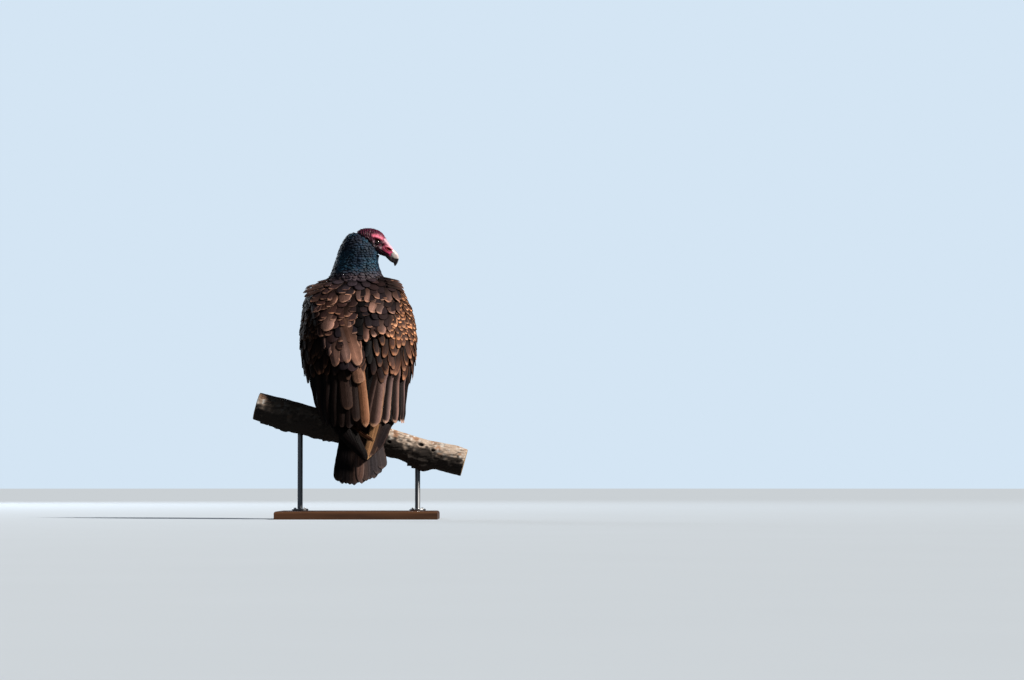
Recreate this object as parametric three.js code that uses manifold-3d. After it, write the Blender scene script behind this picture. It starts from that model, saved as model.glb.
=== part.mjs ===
// A turkey vulture at rest on a cut length of branch, held by a plain display stand.
// Millimetres, +Z up, origin under the middle of the base. The bird's body faces +Y, its right
// side is +X, and its head is turned to its right, so that the bill points to +X and down.
import * as THREE from 'three';
import { mergeVertices } from 'three/addons/utils/BufferGeometryUtils.js';
import Module from 'manifold-3d';

const wasm = await Module();
wasm.setup();

// ---------- driving dimensions ----------
const gap = 0.4; // clearance left between solids that touch
const perch = { height: 190, radius: 31, slope: 15.4, start: -236, end: 246 };
const body = { shift: 7, lean: 3.4 }; // the bird leans its shoulders to its left
const headPose = { eye: [40, 42, 431], down: 33, yaw: 5 };
const eyeBall = { radius: 7, along: 44, rise: 1.5, side: 11.8 };
const base = { length: 360, depth: 250, thick: 18, corner: 26, edge: 3 };
const rod = { radius: 6, flange: 19, flangeThick: 5, at: [-134, 138], inPerch: 16 };
const foot = { spread: 40, toeRadius: 5.6, ankleRise: 58, ankleBack: 20 };

// ---------- helpers ----------
const radians = THREE.MathUtils.degToRad;
const point = (x, y, z) => new THREE.Vector3(x, y, z);
const smooth = (x, from, to) => THREE.MathUtils.smoothstep(x, from, to);

// A row of numbers at t, from 0 at the first row to 1 at the last, on a smooth curve through all.
function rowAt(rows, t) {
  const place = t * (rows.length - 1);
  const i = Math.min(Math.floor(place), rows.length - 2);
  const f = place - i;
  const row = (k) => rows[THREE.MathUtils.clamp(k, 0, rows.length - 1)];
  return rows[i].map((_, c) => {
    const [a, b, d, e] = [row(i - 1)[c], row(i)[c], row(i + 1)[c], row(i + 2)[c]];
    const curve = (2 * a - 5 * b + 4 * d - e) * f + (3 * b - a - 3 * d + e) * f * f;
    return b + 0.5 * f * (d - a + curve);
  });
}

// A closed body through rings that all have the same even number of points.
function loft(rings) {
  const m = rings[0].length;
  const index = [];
  const quad = (a, b, c, d) => index.push(a, b, c, a, c, d);
  for (let r = 0; r < rings.length - 1; r++) {
    for (let i = 0; i < m; i++) {
      const j = (i + 1) % m;
      quad(r * m + i, r * m + j, (r + 1) * m + j, (r + 1) * m + i);
    }
  }
  const last = (rings.length - 1) * m;
  for (let i = 0; i < m / 2 - 1; i++) {
    quad(i, m - 1 - i, m - 2 - i, i + 1);
    quad(last + i, last + i + 1, last + m - 2 - i, last + m - 1 - i);
  }
  const geometry = new THREE.BufferGeometry().setFromPoints(rings.flat());
  geometry.setIndex(index);
  return facingOut(geometry);
}

// Turns a closed geometry's faces round if they point inwards.
function facingOut(geometry) {
  const [a, b, c] = [point(), point(), point()];
  const place = geometry.getAttribute('position');
  const index = geometry.index.array;
  let volume = 0;
  for (let i = 0; i < index.length; i += 3) {
    a.fromBufferAttribute(place, index[i]);
    b.fromBufferAttribute(place, index[i + 1]);
    c.fromBufferAttribute(place, index[i + 2]);
    volume += a.dot(b.cross(c));
  }
  if (volume < 0) index.reverse();
  return geometry;
}

// Frames along a path of points: each has the centre, the direction, right and the upper side.
function frames(path, right) {
  return path.map((centre, i) => {
    const before = path[Math.max(i - 1, 0)];
    const after = path[Math.min(i + 1, path.length - 1)];
    const along = after.clone().sub(before).normalize();
    const up = right.clone().cross(along).normalize();
    return { centre, along, up, right: along.clone().cross(up).normalize() };
  });
}

// An oval ring across a frame: side to the left and right, above and below in height.
function ovalRing(frame, { side, above, below, square = 2 }, segments) {
  const power = (v) => Math.sign(v) * Math.abs(v) ** (2 / square);
  return Array.from({ length: segments }, (_, i) => {
    const angle = (2 * Math.PI * (i + 0.5)) / segments;
    const rise = power(Math.sin(angle));
    return frame.centre
      .clone()
      .addScaledVector(frame.right, side * power(Math.cos(angle)))
      .addScaledVector(frame.up, (rise > 0 ? above : below) * rise);
  });
}

// A crescent ring: a stretch of an oval, from one angle to another, with a thickness inwards.
function shellRing(frame, { side, above, below, from, to, thick }, steps) {
  const at = (q, inset) => {
    const angle = radians(THREE.MathUtils.lerp(from, to, q));
    const rise = Math.sin(angle);
    return frame.centre
      .clone()
      .addScaledVector(frame.right, (side - inset) * Math.cos(angle))
      .addScaledVector(frame.up, ((rise > 0 ? above : below) - inset) * rise);
  };
  const outer = Array.from({ length: steps + 1 }, (_, i) => at(i / steps, 0));
  const inner = Array.from({ length: steps + 1 }, (_, i) => {
    const q = 1 - i / steps;
    return at(q, thick * (0.25 + 0.75 * Math.sin(Math.PI * q)));
  });
  return [...outer, ...inner];
}

// A blade ring: thin and wide, with its edges drooping. Its feather tips can be notched, its
// corners drawn back and its end slanted, all along the blade.
function bladeRing(frame, { side, thick, droop, corner = 0, slant = 0, notch = 0 }, steps) {
  const at = (i, face) => {
    const q = (2 * i) / steps - 1;
    const back = corner * Math.abs(q) ** 2.4 + slant * q + notch * (i % 2);
    return frame.centre
      .clone()
      .addScaledVector(frame.right, side * q)
      .addScaledVector(frame.up, face * thick * 0.5 * (1.15 - q * q) - droop * q * q)
      .addScaledVector(frame.along, back);
  };
  const top = Array.from({ length: steps + 1 }, (_, i) => at(i, 1));
  const bottom = Array.from({ length: steps + 1 }, (_, i) => at(steps - i, -1));
  return [...top, ...bottom];
}

// A body through oval sections whose rows hold [x, y, z, side, above, below].
function ovalBody(rows, { right, rings, segments, square }) {
  const steps = Array.from({ length: rings }, (_, i) => rowAt(rows, i / (rings - 1)));
  const path = frames(steps.map(([x, y, z]) => point(x, y, z)), right);
  return loft(
    path.map((frame, i) => {
      const [, , , side, above, below] = steps[i];
      return ovalRing(frame, { side, above, below, square }, segments);
    }),
  );
}

function solidOf(geometry) {
  const bare = new THREE.BufferGeometry();
  bare.setAttribute('position', geometry.getAttribute('position'));
  bare.setIndex(geometry.index);
  const merged = mergeVertices(bare, 1e-4);
  const vertProperties = new Float32Array(merged.getAttribute('position').array);
  const triVerts = new Uint32Array(merged.index.array);
  return new wasm.Manifold(new wasm.Mesh({ numProp: 3, vertProperties, triVerts }));
}

function geometryOf(solid) {
  const mesh = solid.getMesh();
  const geometry = new THREE.BufferGeometry();
  geometry.setAttribute('position', new THREE.BufferAttribute(mesh.vertProperties, 3));
  geometry.setIndex(new THREE.BufferAttribute(mesh.triVerts, 1));
  return geometry;
}

// The same closed shape, grown so that each of its faces moves out by the gap.
function grown(geometry, by = gap) {
  const bare = new THREE.BufferGeometry();
  bare.setAttribute('position', geometry.getAttribute('position').clone());
  bare.setIndex(geometry.index);
  const merged = mergeVertices(bare, 1e-4);
  const place = merged.getAttribute('position');
  const index = merged.index.array;
  const around = Array.from({ length: place.count }, () => []);
  for (let i = 0; i < index.length; i += 3) {
    const corners = [0, 1, 2].map((k) => point().fromBufferAttribute(place, index[i + k]));
    const normal = new THREE.Triangle(...corners).getNormal(point());
    for (let k = 0; k < 3; k++) around[index[i + k]].push(normal);
  }
  around.forEach((normals, i) => {
    const out = normals.reduce((sum, n) => sum.add(n), point()).normalize();
    const least = Math.min(...normals.map((n) => n.dot(out)));
    const moved = point().fromBufferAttribute(place, i).addScaledVector(out, by / Math.max(least, 0.4));
    place.setXYZ(i, moved.x, moved.y, moved.z);
  });
  return merged;
}

// The geometry with its neighbours cut away, each grown by the gap. Only the largest piece stays.
function carved(geometry, ...neighbours) {
  let solid = solidOf(geometry);
  for (const other of neighbours) solid = solid.subtract(solidOf(grown(other)));
  const pieces = solid.decompose();
  return geometryOf(pieces.reduce((a, b) => (b.volume() > a.volume() ? b : a)));
}

function joined(...geometries) {
  return geometryOf(geometries.map(solidOf).reduce((a, b) => a.add(b)));
}

const across = point(1, 0, 0);
const leanMatrix = new THREE.Matrix4()
  .makeTranslation(body.shift, 0, 0)
  .multiply(new THREE.Matrix4().makeRotationY(-radians(body.lean)));
const leaned = (geometry) => geometry.applyMatrix4(leanMatrix);

// ---------- branch ----------
const slope = radians(perch.slope);
const branchAlong = point(Math.cos(slope), 0, -Math.sin(slope));
const branchUp = point(Math.sin(slope), 0, Math.cos(slope));

// Swellings on the branch: where along it, at which angle from its top, how high and how long.
const swellings = [
  { at: 150, angle: 175, high: 9, long: 26 },
  { at: -170, angle: 200, high: 5, long: 40 },
  { at: 215, angle: 20, high: 4, long: 30 },
  { at: -95, angle: 185, high: 4, long: 30 },
];

function branchRadius(along, angle) {
  let radius = perch.radius - 0.006 * along + 1.4 * Math.sin(along / 31);
  for (const { at, angle: middle, high, long } of swellings) {
    const near = Math.exp(-(((along - at) / long) ** 2));
    radius += high * near * Math.max(0, Math.cos(angle - radians(middle))) ** 2;
  }
  return radius;
}

// The branch bends a little, and its middle stays level under the feet.
const branchBend = (along) => 5 * smooth(Math.abs(along), 60, 260) * Math.sin(along / 70);

function branchPoint(along, angle, radius) {
  return point(0, 0, 0)
    .addScaledVector(branchAlong, along)
    .addScaledVector(point(0, 1, 0), radius * Math.sin(angle) + branchBend(along))
    .addScaledVector(branchUp, radius * Math.cos(angle));
}

function branchGeometry() {
  const [rings, segments] = [18, 16];
  return loft(
    Array.from({ length: rings }, (_, r) => {
      const along = THREE.MathUtils.lerp(perch.start, perch.end, r / (rings - 1));
      return Array.from({ length: segments }, (_, i) => {
        const angle = (2 * Math.PI * (i + 0.5)) / segments;
        return branchPoint(along, angle, branchRadius(along, angle));
      });
    }),
  );
}

// ---------- trunk, neck and head ----------
// Rows run from the coverts under the tail to the neck: x, y, z, half width, back, belly.
const trunkRows = [
  [0, -86, 30, 16, 6, 9],
  [0, -72, 58, 40, 20, 24],
  [0, -48, 106, 68, 40, 54],
  [0, -18, 158, 84, 52, 80],
  [0, 14, 214, 93, 60, 92],
  [0, 42, 270, 94, 62, 88],
  [0, 56, 312, 82, 50, 74],
  [0, 62, 338, 56, 32, 48],
  [0, 64, 352, 24, 12, 20],
];
const trunkGeometry = () =>
  leaned(ovalBody(trunkRows, { right: across, rings: 12, segments: 16, square: 2.1 }));

// The feathered neck rises from the shoulders and ends in a slanted rim, on which the head rests.
// Rows: x, y, z, half depth, reach to the right and to the left, tilt of the ring.
const neckRows = [
  [-6, 55, 322, 55, 72, 72, 0],
  [-6, 56, 343, 54, 66, 66, 0],
  [-5, 56, 362, 49, 57, 60, 2],
  [-3, 54, 386, 45, 50, 52, 8],
  [0, 51, 408, 43, 47, 47, 17],
  [5, 48, 424, 39, 42, 42, 27],
  [10, 46, 435, 32, 33, 35, 33],
  [14, 45, 442, 20, 20, 22, 33],
];

function neckGeometry() {
  const [rings, segments] = [11, 16];
  return loft(
    Array.from({ length: rings }, (_, r) => {
      const [x, y, z, depth, reachRight, reachLeft, tilt] = rowAt(neckRows, r / (rings - 1));
      const angle = radians(tilt);
      const sideways = point(Math.cos(angle), 0, -Math.sin(angle));
      const frame = { centre: point(x, y, z), right: point(0, 1, 0), up: sideways };
      return ovalRing(frame, { side: depth, above: reachRight, below: reachLeft }, segments);
    }),
  );
}

// The head's own frame: along the bill, up to the crown, and to the side the bird calls right.
const headAlong = point(1, 0, 0)
  .applyAxisAngle(point(0, 1, 0), radians(headPose.down))
  .applyAxisAngle(point(0, 0, 1), radians(headPose.yaw));
const headSide = headAlong.clone().cross(point(0, 0, 1)).normalize();
const headUp = headSide.clone().cross(headAlong).normalize();
const headOrigin = point(...headPose.eye)
  .addScaledVector(headAlong, -eyeBall.along)
  .addScaledVector(headUp, -eyeBall.rise);
const inHead = (along, up, side = 0) =>
  headOrigin
    .clone()
    .addScaledVector(headAlong, along)
    .addScaledVector(headUp, up)
    .addScaledVector(headSide, side);

// Head rows: distance from the nape, height of the crown and of the jaw, half width.
const headRows = [
  [-6, 0, -15, 6],
  [0, 10, -22, 12.5],
  [11, 18.5, -25, 16.5],
  [23, 24, -23.5, 18.5],
  [34, 26.5, -21.5, 19],
  [44, 25.5, -20, 18],
  [54, 21, -18.8, 15],
  [64, 16, -17.6, 11.8],
  [74, 12.4, -15.2, 9.6],
  [87, 8.8, -12.6, 8],
];

function headGeometry() {
  const [rings, segments] = [14, 14];
  return loft(
    Array.from({ length: rings }, (_, r) => {
      const [along, top, bottom, side] = rowAt(headRows, r / (rings - 1));
      const middle = (top + bottom) / 2;
      const frame = { centre: inHead(along, middle), right: headSide, up: headUp };
      const half = (top - bottom) / 2;
      return ovalRing(frame, { side, above: half, below: half, square: 2.2 }, segments);
    }),
  );
}

// Bill rows: distance from the nape, height, half width, half depth across the curved line.
const upperBillRows = [
  [79, 3, 6.8, 6.2],
  [88, 1.8, 6.4, 6.4],
  [95.5, -0.6, 5.6, 6],
  [101, -5.4, 4.4, 5],
  [104, -11, 3, 3.6],
  [105.6, -16, 1.8, 2.3],
  [106, -20.6, 0.8, 0.9],
];
const lowerBillRows = [
  [76, -11.4, 6.2, 3.2],
  [84, -10.4, 5.8, 3.4],
  [91, -9.2, 4.8, 3],
  [97.5, -8.2, 3.2, 2],
];

function billGeometry(rows, rings) {
  const steps = Array.from({ length: rings }, (_, i) => rowAt(rows, i / (rings - 1)));
  const path = frames(steps.map(([along, up]) => inHead(along, up)), headSide.clone().negate());
  return loft(
    path.map((frame, i) => {
      const [, , side, half] = steps[i];
      return ovalRing(frame, { side, above: half, below: half, square: 2.3 }, 12);
    }),
  );
}

function eyeGeometry(side) {
  const centre = inHead(eyeBall.along, eyeBall.rise, side * eyeBall.side);
  const ball = new THREE.SphereGeometry(eyeBall.radius, 12, 8);
  ball.deleteAttribute('normal');
  ball.deleteAttribute('uv');
  return mergeVertices(ball, 1e-4).translate(centre.x, centre.y, centre.z);
}

// ---------- wings ----------
// The outer face of a folded wing, down its length: y, z, half width, back, front.
const wingRows = [
  [66, 352, 60, 12, 20],
  [62, 344, 84, 24, 36],
  [56, 328, 104, 42, 60],
  [40, 296, 118, 60, 82],
  [12, 246, 129, 70, 92],
  [-10, 200, 132, 70, 90],
  [-32, 154, 126, 64, 76],
  [-54, 104, 115, 56, 58],
  [-78, 54, 101, 48, 44],
  [-96, 10, 83, 40, 34],
];
// Layers of the wing: where they start and end down its length, how far they lie above its face,
// and rows of the leading and the inner edge, as angles from the bird's side up to its back, and
// the thickness.
const coverts = {
  start: 0,
  end: 0.78,
  lift: 0,
  rings: 11,
  steps: 7,
  rows: [
    [30, 60, 6],
    [-20, 66, 14],
    [-42, 76, 24],
    [-48, 84, 29],
    [-47, 90, 30],
    [-40, 94, 22],
    [-27, 95, 7],
  ],
};
const secondaries = {
  start: 0.7,
  end: 1,
  lift: -3,
  rings: 5,
  steps: 7,
  rows: [
    [-26, 95, 12],
    [-22, 97, 12],
    [-14, 98, 9],
    [-6, 95, 6],
    [8, 86, 4],
  ],
};
// The scapulars lie over the upper back and the wing's top, as a cape on each side.
const capes = {
  left: {
    start: 0,
    end: 0.76,
    lift: 9,
    rings: 10,
    steps: 6,
    rows: [
      [24, 92, 6],
      [8, 94, 10],
      [22, 95, 12],
      [40, 97, 12],
      [52, 98, 11],
      [60, 98, 9],
      [76, 93, 6],
    ],
  },
  right: {
    start: 0,
    end: 0.57,
    lift: 9,
    rings: 8,
    steps: 6,
    rows: [
      [24, 90, 6],
      [8, 91, 10],
      [16, 90, 12],
      [30, 89, 12],
      [40, 89, 11],
      [50, 88, 9],
      [66, 83, 6],
    ],
  },
};
const sides = { left: -1, right: 1 };

// The right wing hangs a little wider than the left one, mostly at its lower end.
const widerBy = (z) => 5.8 * smooth(-z, -330, -250) + 5 * smooth(-z, -70, -20);

function wingShell(side, { start, end, lift, rings, steps, rows }) {
  const spots = Array.from({ length: rings }, (_, i) => i / (rings - 1));
  const sections = spots.map((t) => rowAt(wingRows, THREE.MathUtils.lerp(start, end, t)));
  const path = frames(sections.map(([y, z]) => point(0, y, z)).reverse(), across).reverse();
  return leaned(
    loft(
      path.map((frame, i) => {
        const [, z, width, back, front] = sections[i];
        const [from, to, thick] = rowAt(rows, spots[i]);
        const half = width + lift + sides[side] * widerBy(z);
        const mirrored = { ...frame, right: frame.right.clone().multiplyScalar(sides[side]) };
        const section = { side: half, above: back + lift, below: front + lift, from, to, thick };
        return shellRing(mirrored, section, steps);
      }),
    ),
  );
}

// Rows down the primaries: x, y, z, half width, thickness, droop.
const primaryRows = [
  [52, -96, 74, 36, 7, 12],
  [48, -112, 38, 32, 7, 10],
  [37, -124, 4, 25, 6, 6],
  [24, -131, -30, 15, 5, 2],
  [13, -136, -62, 3, 3, 0],
];
// The left wing's tip lies over the right one's, and reaches past the middle of the tail.
const tipShift = { left: { x: 26, y: -7 }, right: { x: 0, y: 0 } };

function primaryGeometry(side) {
  const rings = 8;
  const sections = Array.from({ length: rings }, (_, i) => rowAt(primaryRows, i / (rings - 1)));
  const path = sections.map(([x, y, z], i) => {
    const crossed = smooth(i / (rings - 1), 0.2, 1);
    const inward = sides[side] * (x + widerBy(z) * (1 - crossed) * 0.6);
    return point(inward + tipShift[side].x * crossed, y + tipShift[side].y * crossed, z);
  });
  return leaned(
    loft(
      frames([...path].reverse(), across)
        .reverse()
        .map((frame, i) => {
          const [, , , half, thick, droop] = sections[i];
          return bladeRing(frame, { side: half, thick, droop }, 6);
        }),
    ),
  );
}

// ---------- tail ----------
// Rows down the tail: x, y, z, half width, thickness, droop, corners, slant and notches.
const tailRows = [
  [0, -70, 66, 26, 12, 2, 0, 0, 0],
  [0, -88, 26, 44, 10, 6, 0, 0, 0],
  [0, -106, -18, 55, 8, 8, 2, 1, 0],
  [0, -123, -62, 58, 6, 8, 8, 5, 0],
  [0, -142, -112, 56, 4, 7, 26, 14, 5],
];

function tailGeometry() {
  const rings = 8;
  const sections = Array.from({ length: rings }, (_, i) => rowAt(tailRows, i / (rings - 1)));
  const path = frames(sections.map(([x, y, z]) => point(x, y, z)).reverse(), across).reverse();
  return leaned(
    loft(
      path.map((frame, i) => {
        const [, , , side, thick, droop, corner, slant, notch] = sections[i];
        return bladeRing(frame, { side, thick, droop, corner, slant, notch }, 16);
      }),
    ),
  );
}

// ---------- legs ----------
const footAngle = radians(-6); // each foot stands just behind the branch's top line

function ankleOf(side) {
  const along = sides[side] * foot.spread;
  const stand = branchPoint(along, footAngle, branchRadius(along, 0) + foot.toeRadius);
  return stand.add(point(0, -foot.ankleBack, foot.ankleRise));
}

function thighGeometry(side) {
  const ankle = ankleOf(side);
  const x = sides[side];
  const rows = [
    [x * 52 + 2, 40, 190, 30, 36, 40],
    [x * 54 + 4, 34, 160, 31, 42, 42],
    [x * 50 + 5, 18, 128, 24, 32, 34],
    [(x * 48 + ankle.x) / 2 + 3, ankle.y + 18, ankle.z + 16, 16, 18, 20],
    [ankle.x, ankle.y + 5, ankle.z - 4, 9.5, 9, 10],
  ];
  return ovalBody(rows, { right: across, rings: 8, segments: 12 });
}

function shankGeometry(side) {
  const along = sides[side] * foot.spread;
  const ankle = ankleOf(side);
  const ground = branchPoint(along, footAngle, branchRadius(along, 0) + foot.toeRadius);
  const at = (t) => ankle.clone().lerp(ground, t).toArray();
  const rows = [
    [...at(-0.12), 4, 5, 5],
    [...at(0), 6.4, 8, 8],
    [...at(0.2), 5, 6, 6],
    [...at(0.75), 5, 6, 6],
    [...at(0.94), 7.5, 4, 4],
    [...at(0.99), 6, 4, 4],
  ];
  return ovalBody(rows, { right: across, rings: 6, segments: 8 });
}

// Toes: start and end angle round the branch, sideways run in mm, radius, claw angle.
const toes = [
  { name: 'inner', from: -4, to: 74, run: -20, claw: 32 },
  { name: 'middle', from: -4, to: 96, run: 1, claw: 34 },
  { name: 'outer', from: -4, to: 70, run: 22, claw: 30 },
  { name: 'hind', from: -8, to: -60, run: -6, claw: -34 },
];

function toePoint(side, toe, t, lift) {
  const along = sides[side] * (foot.spread + toe.run * Math.min(t, 1.2) ** 0.8);
  const angle = radians(THREE.MathUtils.lerp(toe.from, toe.to, t));
  return branchPoint(along, angle, branchRadius(along, angle) + lift);
}

function toeGeometry(side, toe) {
  const rings = 6;
  const path = Array.from({ length: rings }, (_, i) =>
    toePoint(side, toe, i / (rings - 1), foot.toeRadius + 0.4),
  );
  return loft(
    frames(path, branchAlong).map((frame, i) => {
      const t = i / (rings - 1);
      const knuckle = 0.4 * Math.cos(t * 6 * Math.PI);
      const radius = foot.toeRadius * (1 - 0.22 * t) + knuckle - 0.5;
      return ovalRing(frame, { side: radius, above: radius, below: radius }, 6);
    }),
  );
}

function clawGeometry(side, toe) {
  const rings = 5;
  const reach = toe.claw / (toe.to - toe.from);
  const path = Array.from({ length: rings }, (_, i) => {
    const t = i / (rings - 1);
    return toePoint(side, toe, 0.97 + reach * t, foot.toeRadius + 1.2 + 3 * t - 7.2 * t * t);
  });
  return loft(
    frames(path, branchAlong).map((frame, i) => {
      const radius = 3.2 - 0.66 * i;
      return ovalRing(frame, { side: radius * 0.8, above: radius, below: radius }, 6);
    }),
  );
}

// ---------- stand ----------
function baseGeometry() {
  const [x, y] = [base.length / 2 - base.edge, base.depth / 2 - base.edge];
  const r = base.corner - base.edge;
  const outline = new THREE.Shape();
  outline.moveTo(x, -y + r);
  outline.lineTo(x, y - r);
  outline.absarc(x - r, y - r, r, 0, Math.PI / 2);
  outline.absarc(-x + r, y - r, r, Math.PI / 2, Math.PI);
  outline.absarc(-x + r, -y + r, r, Math.PI, 1.5 * Math.PI);
  outline.absarc(x - r, -y + r, r, 1.5 * Math.PI, 2 * Math.PI);
  return new THREE.ExtrudeGeometry(outline, {
    depth: base.thick - 2 * base.edge,
    bevelThickness: base.edge,
    bevelSize: base.edge,
    bevelSegments: 1,
    curveSegments: 4,
  }).translate(0, 0, base.edge);
}

// A round rod with a screw flange at its foot, which ends inside the branch.
function rodGeometry(along) {
  const foot = branchPoint(along, 0, 0);
  const top = foot.z + perch.height - branchRadius(along, Math.PI) + rod.inPerch;
  const profile = [
    [0, base.thick + gap],
    [rod.flange, base.thick + gap],
    [rod.flange, base.thick + rod.flangeThick - 1],
    [rod.flange - 1, base.thick + rod.flangeThick],
    [rod.radius, base.thick + rod.flangeThick],
    [rod.radius, top],
    [0, top],
  ].map(([r, z]) => new THREE.Vector2(r, z));
  const turned = new THREE.LatheGeometry(profile, 10).rotateX(Math.PI / 2);
  turned.translate(foot.x, foot.y, -perch.height);
  turned.deleteAttribute('normal');
  turned.deleteAttribute('uv');
  return facingOut(mergeVertices(turned, 1e-4));
}

// ---------- assembly ----------
const finishes = {
  plumage: { color: 0x33261f, roughness: 0.75 },
  plumageBrown: { color: 0x54402f, roughness: 0.75 },
  hood: { color: 0x1b2228, roughness: 0.6 },
  flight: { color: 0x3b302a, roughness: 0.6 },
  faceSkin: { color: 0xa8384c, roughness: 0.55 },
  horn: { color: 0xe9e2d4, roughness: 0.4 },
  eye: { color: 0x2a1a14, roughness: 0.1 },
  legSkin: { color: 0xb98f86, roughness: 0.7 },
  claw: { color: 0x2b2724, roughness: 0.45 },
  bark: { color: 0x9c8a78, roughness: 0.95 },
  stand: { color: 0x7d5a3a, roughness: 0.55 },
  steel: { color: 0xb4b6b8, roughness: 0.35, metalness: 1 },
};
const materials = Object.fromEntries(
  Object.entries(finishes).map(([name, look]) => [name, new THREE.MeshStandardMaterial(look)]),
);

const model = new THREE.Group();
const bird = new THREE.Group();
bird.position.z = perch.height;
model.add(bird);

function add(group, name, geometry, finish) {
  const mesh = new THREE.Mesh(geometry, materials[finish]);
  mesh.name = name;
  group.add(mesh);
}

const branch = branchGeometry();
const rods = rod.at.map(rodGeometry);
const trunk = trunkGeometry();
const neck = neckGeometry();
const head = headGeometry();
const eyes = { left: eyeGeometry(-1), right: eyeGeometry(1) };
const upperBill = billGeometry(upperBillRows, 11);
const lowerBill = billGeometry(lowerBillRows, 6);
const tail = tailGeometry();

add(bird, 'perch', carved(branch, ...rods), 'bark');
add(bird, 'bill_upper', upperBill, 'horn');
add(bird, 'bill_lower', carved(lowerBill, upperBill), 'horn');
add(bird, 'eye_left', eyes.left, 'eye');
add(bird, 'eye_right', eyes.right, 'eye');
add(bird, 'head', carved(head, upperBill, lowerBill, eyes.left, eyes.right), 'faceSkin');
add(bird, 'neck', carved(neck, head, eyes.left, eyes.right), 'hood');

const legs = {};
for (const side of ['left', 'right']) {
  const claws = toes.map((toe) => clawGeometry(side, toe));
  const bones = joined(shankGeometry(side), ...toes.map((toe) => toeGeometry(side, toe)));
  const thigh = thighGeometry(side);
  legs[side] = { thigh, bones };
  add(bird, `foot_${side}`, carved(bones, branch, ...claws), 'legSkin');
  add(bird, `thigh_${side}`, carved(thigh, bones), 'plumage');
  toes.forEach(({ name }, i) => {
    add(bird, `claw_${side}_${name}`, carved(claws[i], branch), 'claw');
  });
}
const thighs = [legs.left.thigh, legs.right.thigh];
const legParts = [...thighs, legs.left.bones, legs.right.bones];
add(bird, 'trunk', carved(trunk, neck, branch, ...legParts), 'plumage');
add(bird, 'tail', carved(tail, trunk, branch), 'flight');

const under = [trunk, neck, tail, branch, ...legParts];
const wings = { left: {}, right: {} };
for (const [side, wing] of Object.entries(wings)) {
  wing.coverts = wingShell(side, coverts);
  wing.secondaries = wingShell(side, secondaries);
  wing.primaries = primaryGeometry(side);
  wing.cape = wingShell(side, capes[side]);
  add(bird, `wing_${side}`, carved(wing.coverts, ...under), 'plumageBrown');
  under.push(wing.coverts);
  add(bird, `secondaries_${side}`, carved(wing.secondaries, ...under), 'flight');
  under.push(wing.secondaries);
  add(bird, `primaries_${side}`, carved(wing.primaries, ...under), 'flight');
  under.push(wing.primaries);
}
for (const [side, wing] of Object.entries(wings).reverse()) {
  add(bird, `scapulars_${side}`, carved(wing.cape, ...under), 'plumageBrown');
  under.push(wing.cape);
}

add(model, 'stand_base', baseGeometry(), 'stand');
['left', 'right'].forEach((side, i) => add(bird, `stand_rod_${side}`, rods[i], 'steel'));

export default model;
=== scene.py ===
import math
import bmesh
import bpy
import numpy as np
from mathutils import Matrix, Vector
from mathutils.bvhtree import BVHTree


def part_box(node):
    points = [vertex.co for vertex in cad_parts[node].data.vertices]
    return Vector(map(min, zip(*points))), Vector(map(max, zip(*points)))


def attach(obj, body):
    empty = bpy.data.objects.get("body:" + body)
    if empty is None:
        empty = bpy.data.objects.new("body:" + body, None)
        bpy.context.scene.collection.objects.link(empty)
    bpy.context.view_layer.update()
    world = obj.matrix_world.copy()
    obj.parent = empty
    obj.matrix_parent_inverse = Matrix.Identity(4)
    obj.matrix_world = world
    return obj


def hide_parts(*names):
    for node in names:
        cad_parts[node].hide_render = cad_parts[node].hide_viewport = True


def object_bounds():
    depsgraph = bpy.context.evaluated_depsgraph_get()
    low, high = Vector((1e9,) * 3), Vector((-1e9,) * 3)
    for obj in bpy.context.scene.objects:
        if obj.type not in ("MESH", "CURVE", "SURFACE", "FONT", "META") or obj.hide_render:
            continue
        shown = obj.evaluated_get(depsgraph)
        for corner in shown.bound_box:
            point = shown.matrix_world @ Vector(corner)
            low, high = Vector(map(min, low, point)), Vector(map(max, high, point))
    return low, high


# A turkey vulture at rest on a cut branch, on a museum's display stand.
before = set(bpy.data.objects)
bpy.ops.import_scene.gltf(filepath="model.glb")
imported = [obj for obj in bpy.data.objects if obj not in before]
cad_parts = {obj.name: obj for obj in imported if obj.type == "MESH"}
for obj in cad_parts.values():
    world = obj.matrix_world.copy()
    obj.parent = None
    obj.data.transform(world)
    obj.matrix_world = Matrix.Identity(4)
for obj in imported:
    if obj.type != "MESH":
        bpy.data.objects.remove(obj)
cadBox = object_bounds()
scene = bpy.context.scene
mm = 0.001
upright = np.array([0.0, 0.0, 1.0])


def say(stage):
    print("vulture:", stage)


def selectOnly(piece):
    bpy.ops.object.select_all(action="DESELECT")
    piece.select_set(True)
    bpy.context.view_layer.objects.active = piece


def applyModifier(piece, kind, **values):
    modifier = piece.modifiers.new(kind.lower(), kind)
    for key, value in values.items():
        setattr(modifier, key, value)
    selectOnly(piece)
    bpy.ops.object.modifier_apply(modifier=modifier.name)


def blend(value, low, high):  # a soft step, 0 at low and 1 at high
    t = np.clip((value - low) / (high - low), 0, 1)
    return t * t * (3 - 2 * t)


def hill(value, middle, spread):  # 1 at the middle, and soon 0 past the spread
    return np.exp(-(((value - middle) / spread) ** 2))


def fromLine(a, b, stops):  # distance of places a, b from a bent line
    best = np.full(len(a), 1e9)
    for (a0, b0), (a1, b1) in zip(stops, stops[1:]):
        da, db = a1 - a0, b1 - b0
        t = np.clip(((a - a0) * da + (b - b0) * db) / (da * da + db * db), 0, 1)
        best = np.minimum(best, np.hypot(a - a0 - da * t, b - b0 - db * t))
    return best


def paint(red, green, blue):  # a screen colour as the linear values that shaders take
    return tuple(((c / 255 + 0.055) / 1.055) ** 2.4 if c > 10 else c / 3294.6 for c in (red, green, blue))


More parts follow.
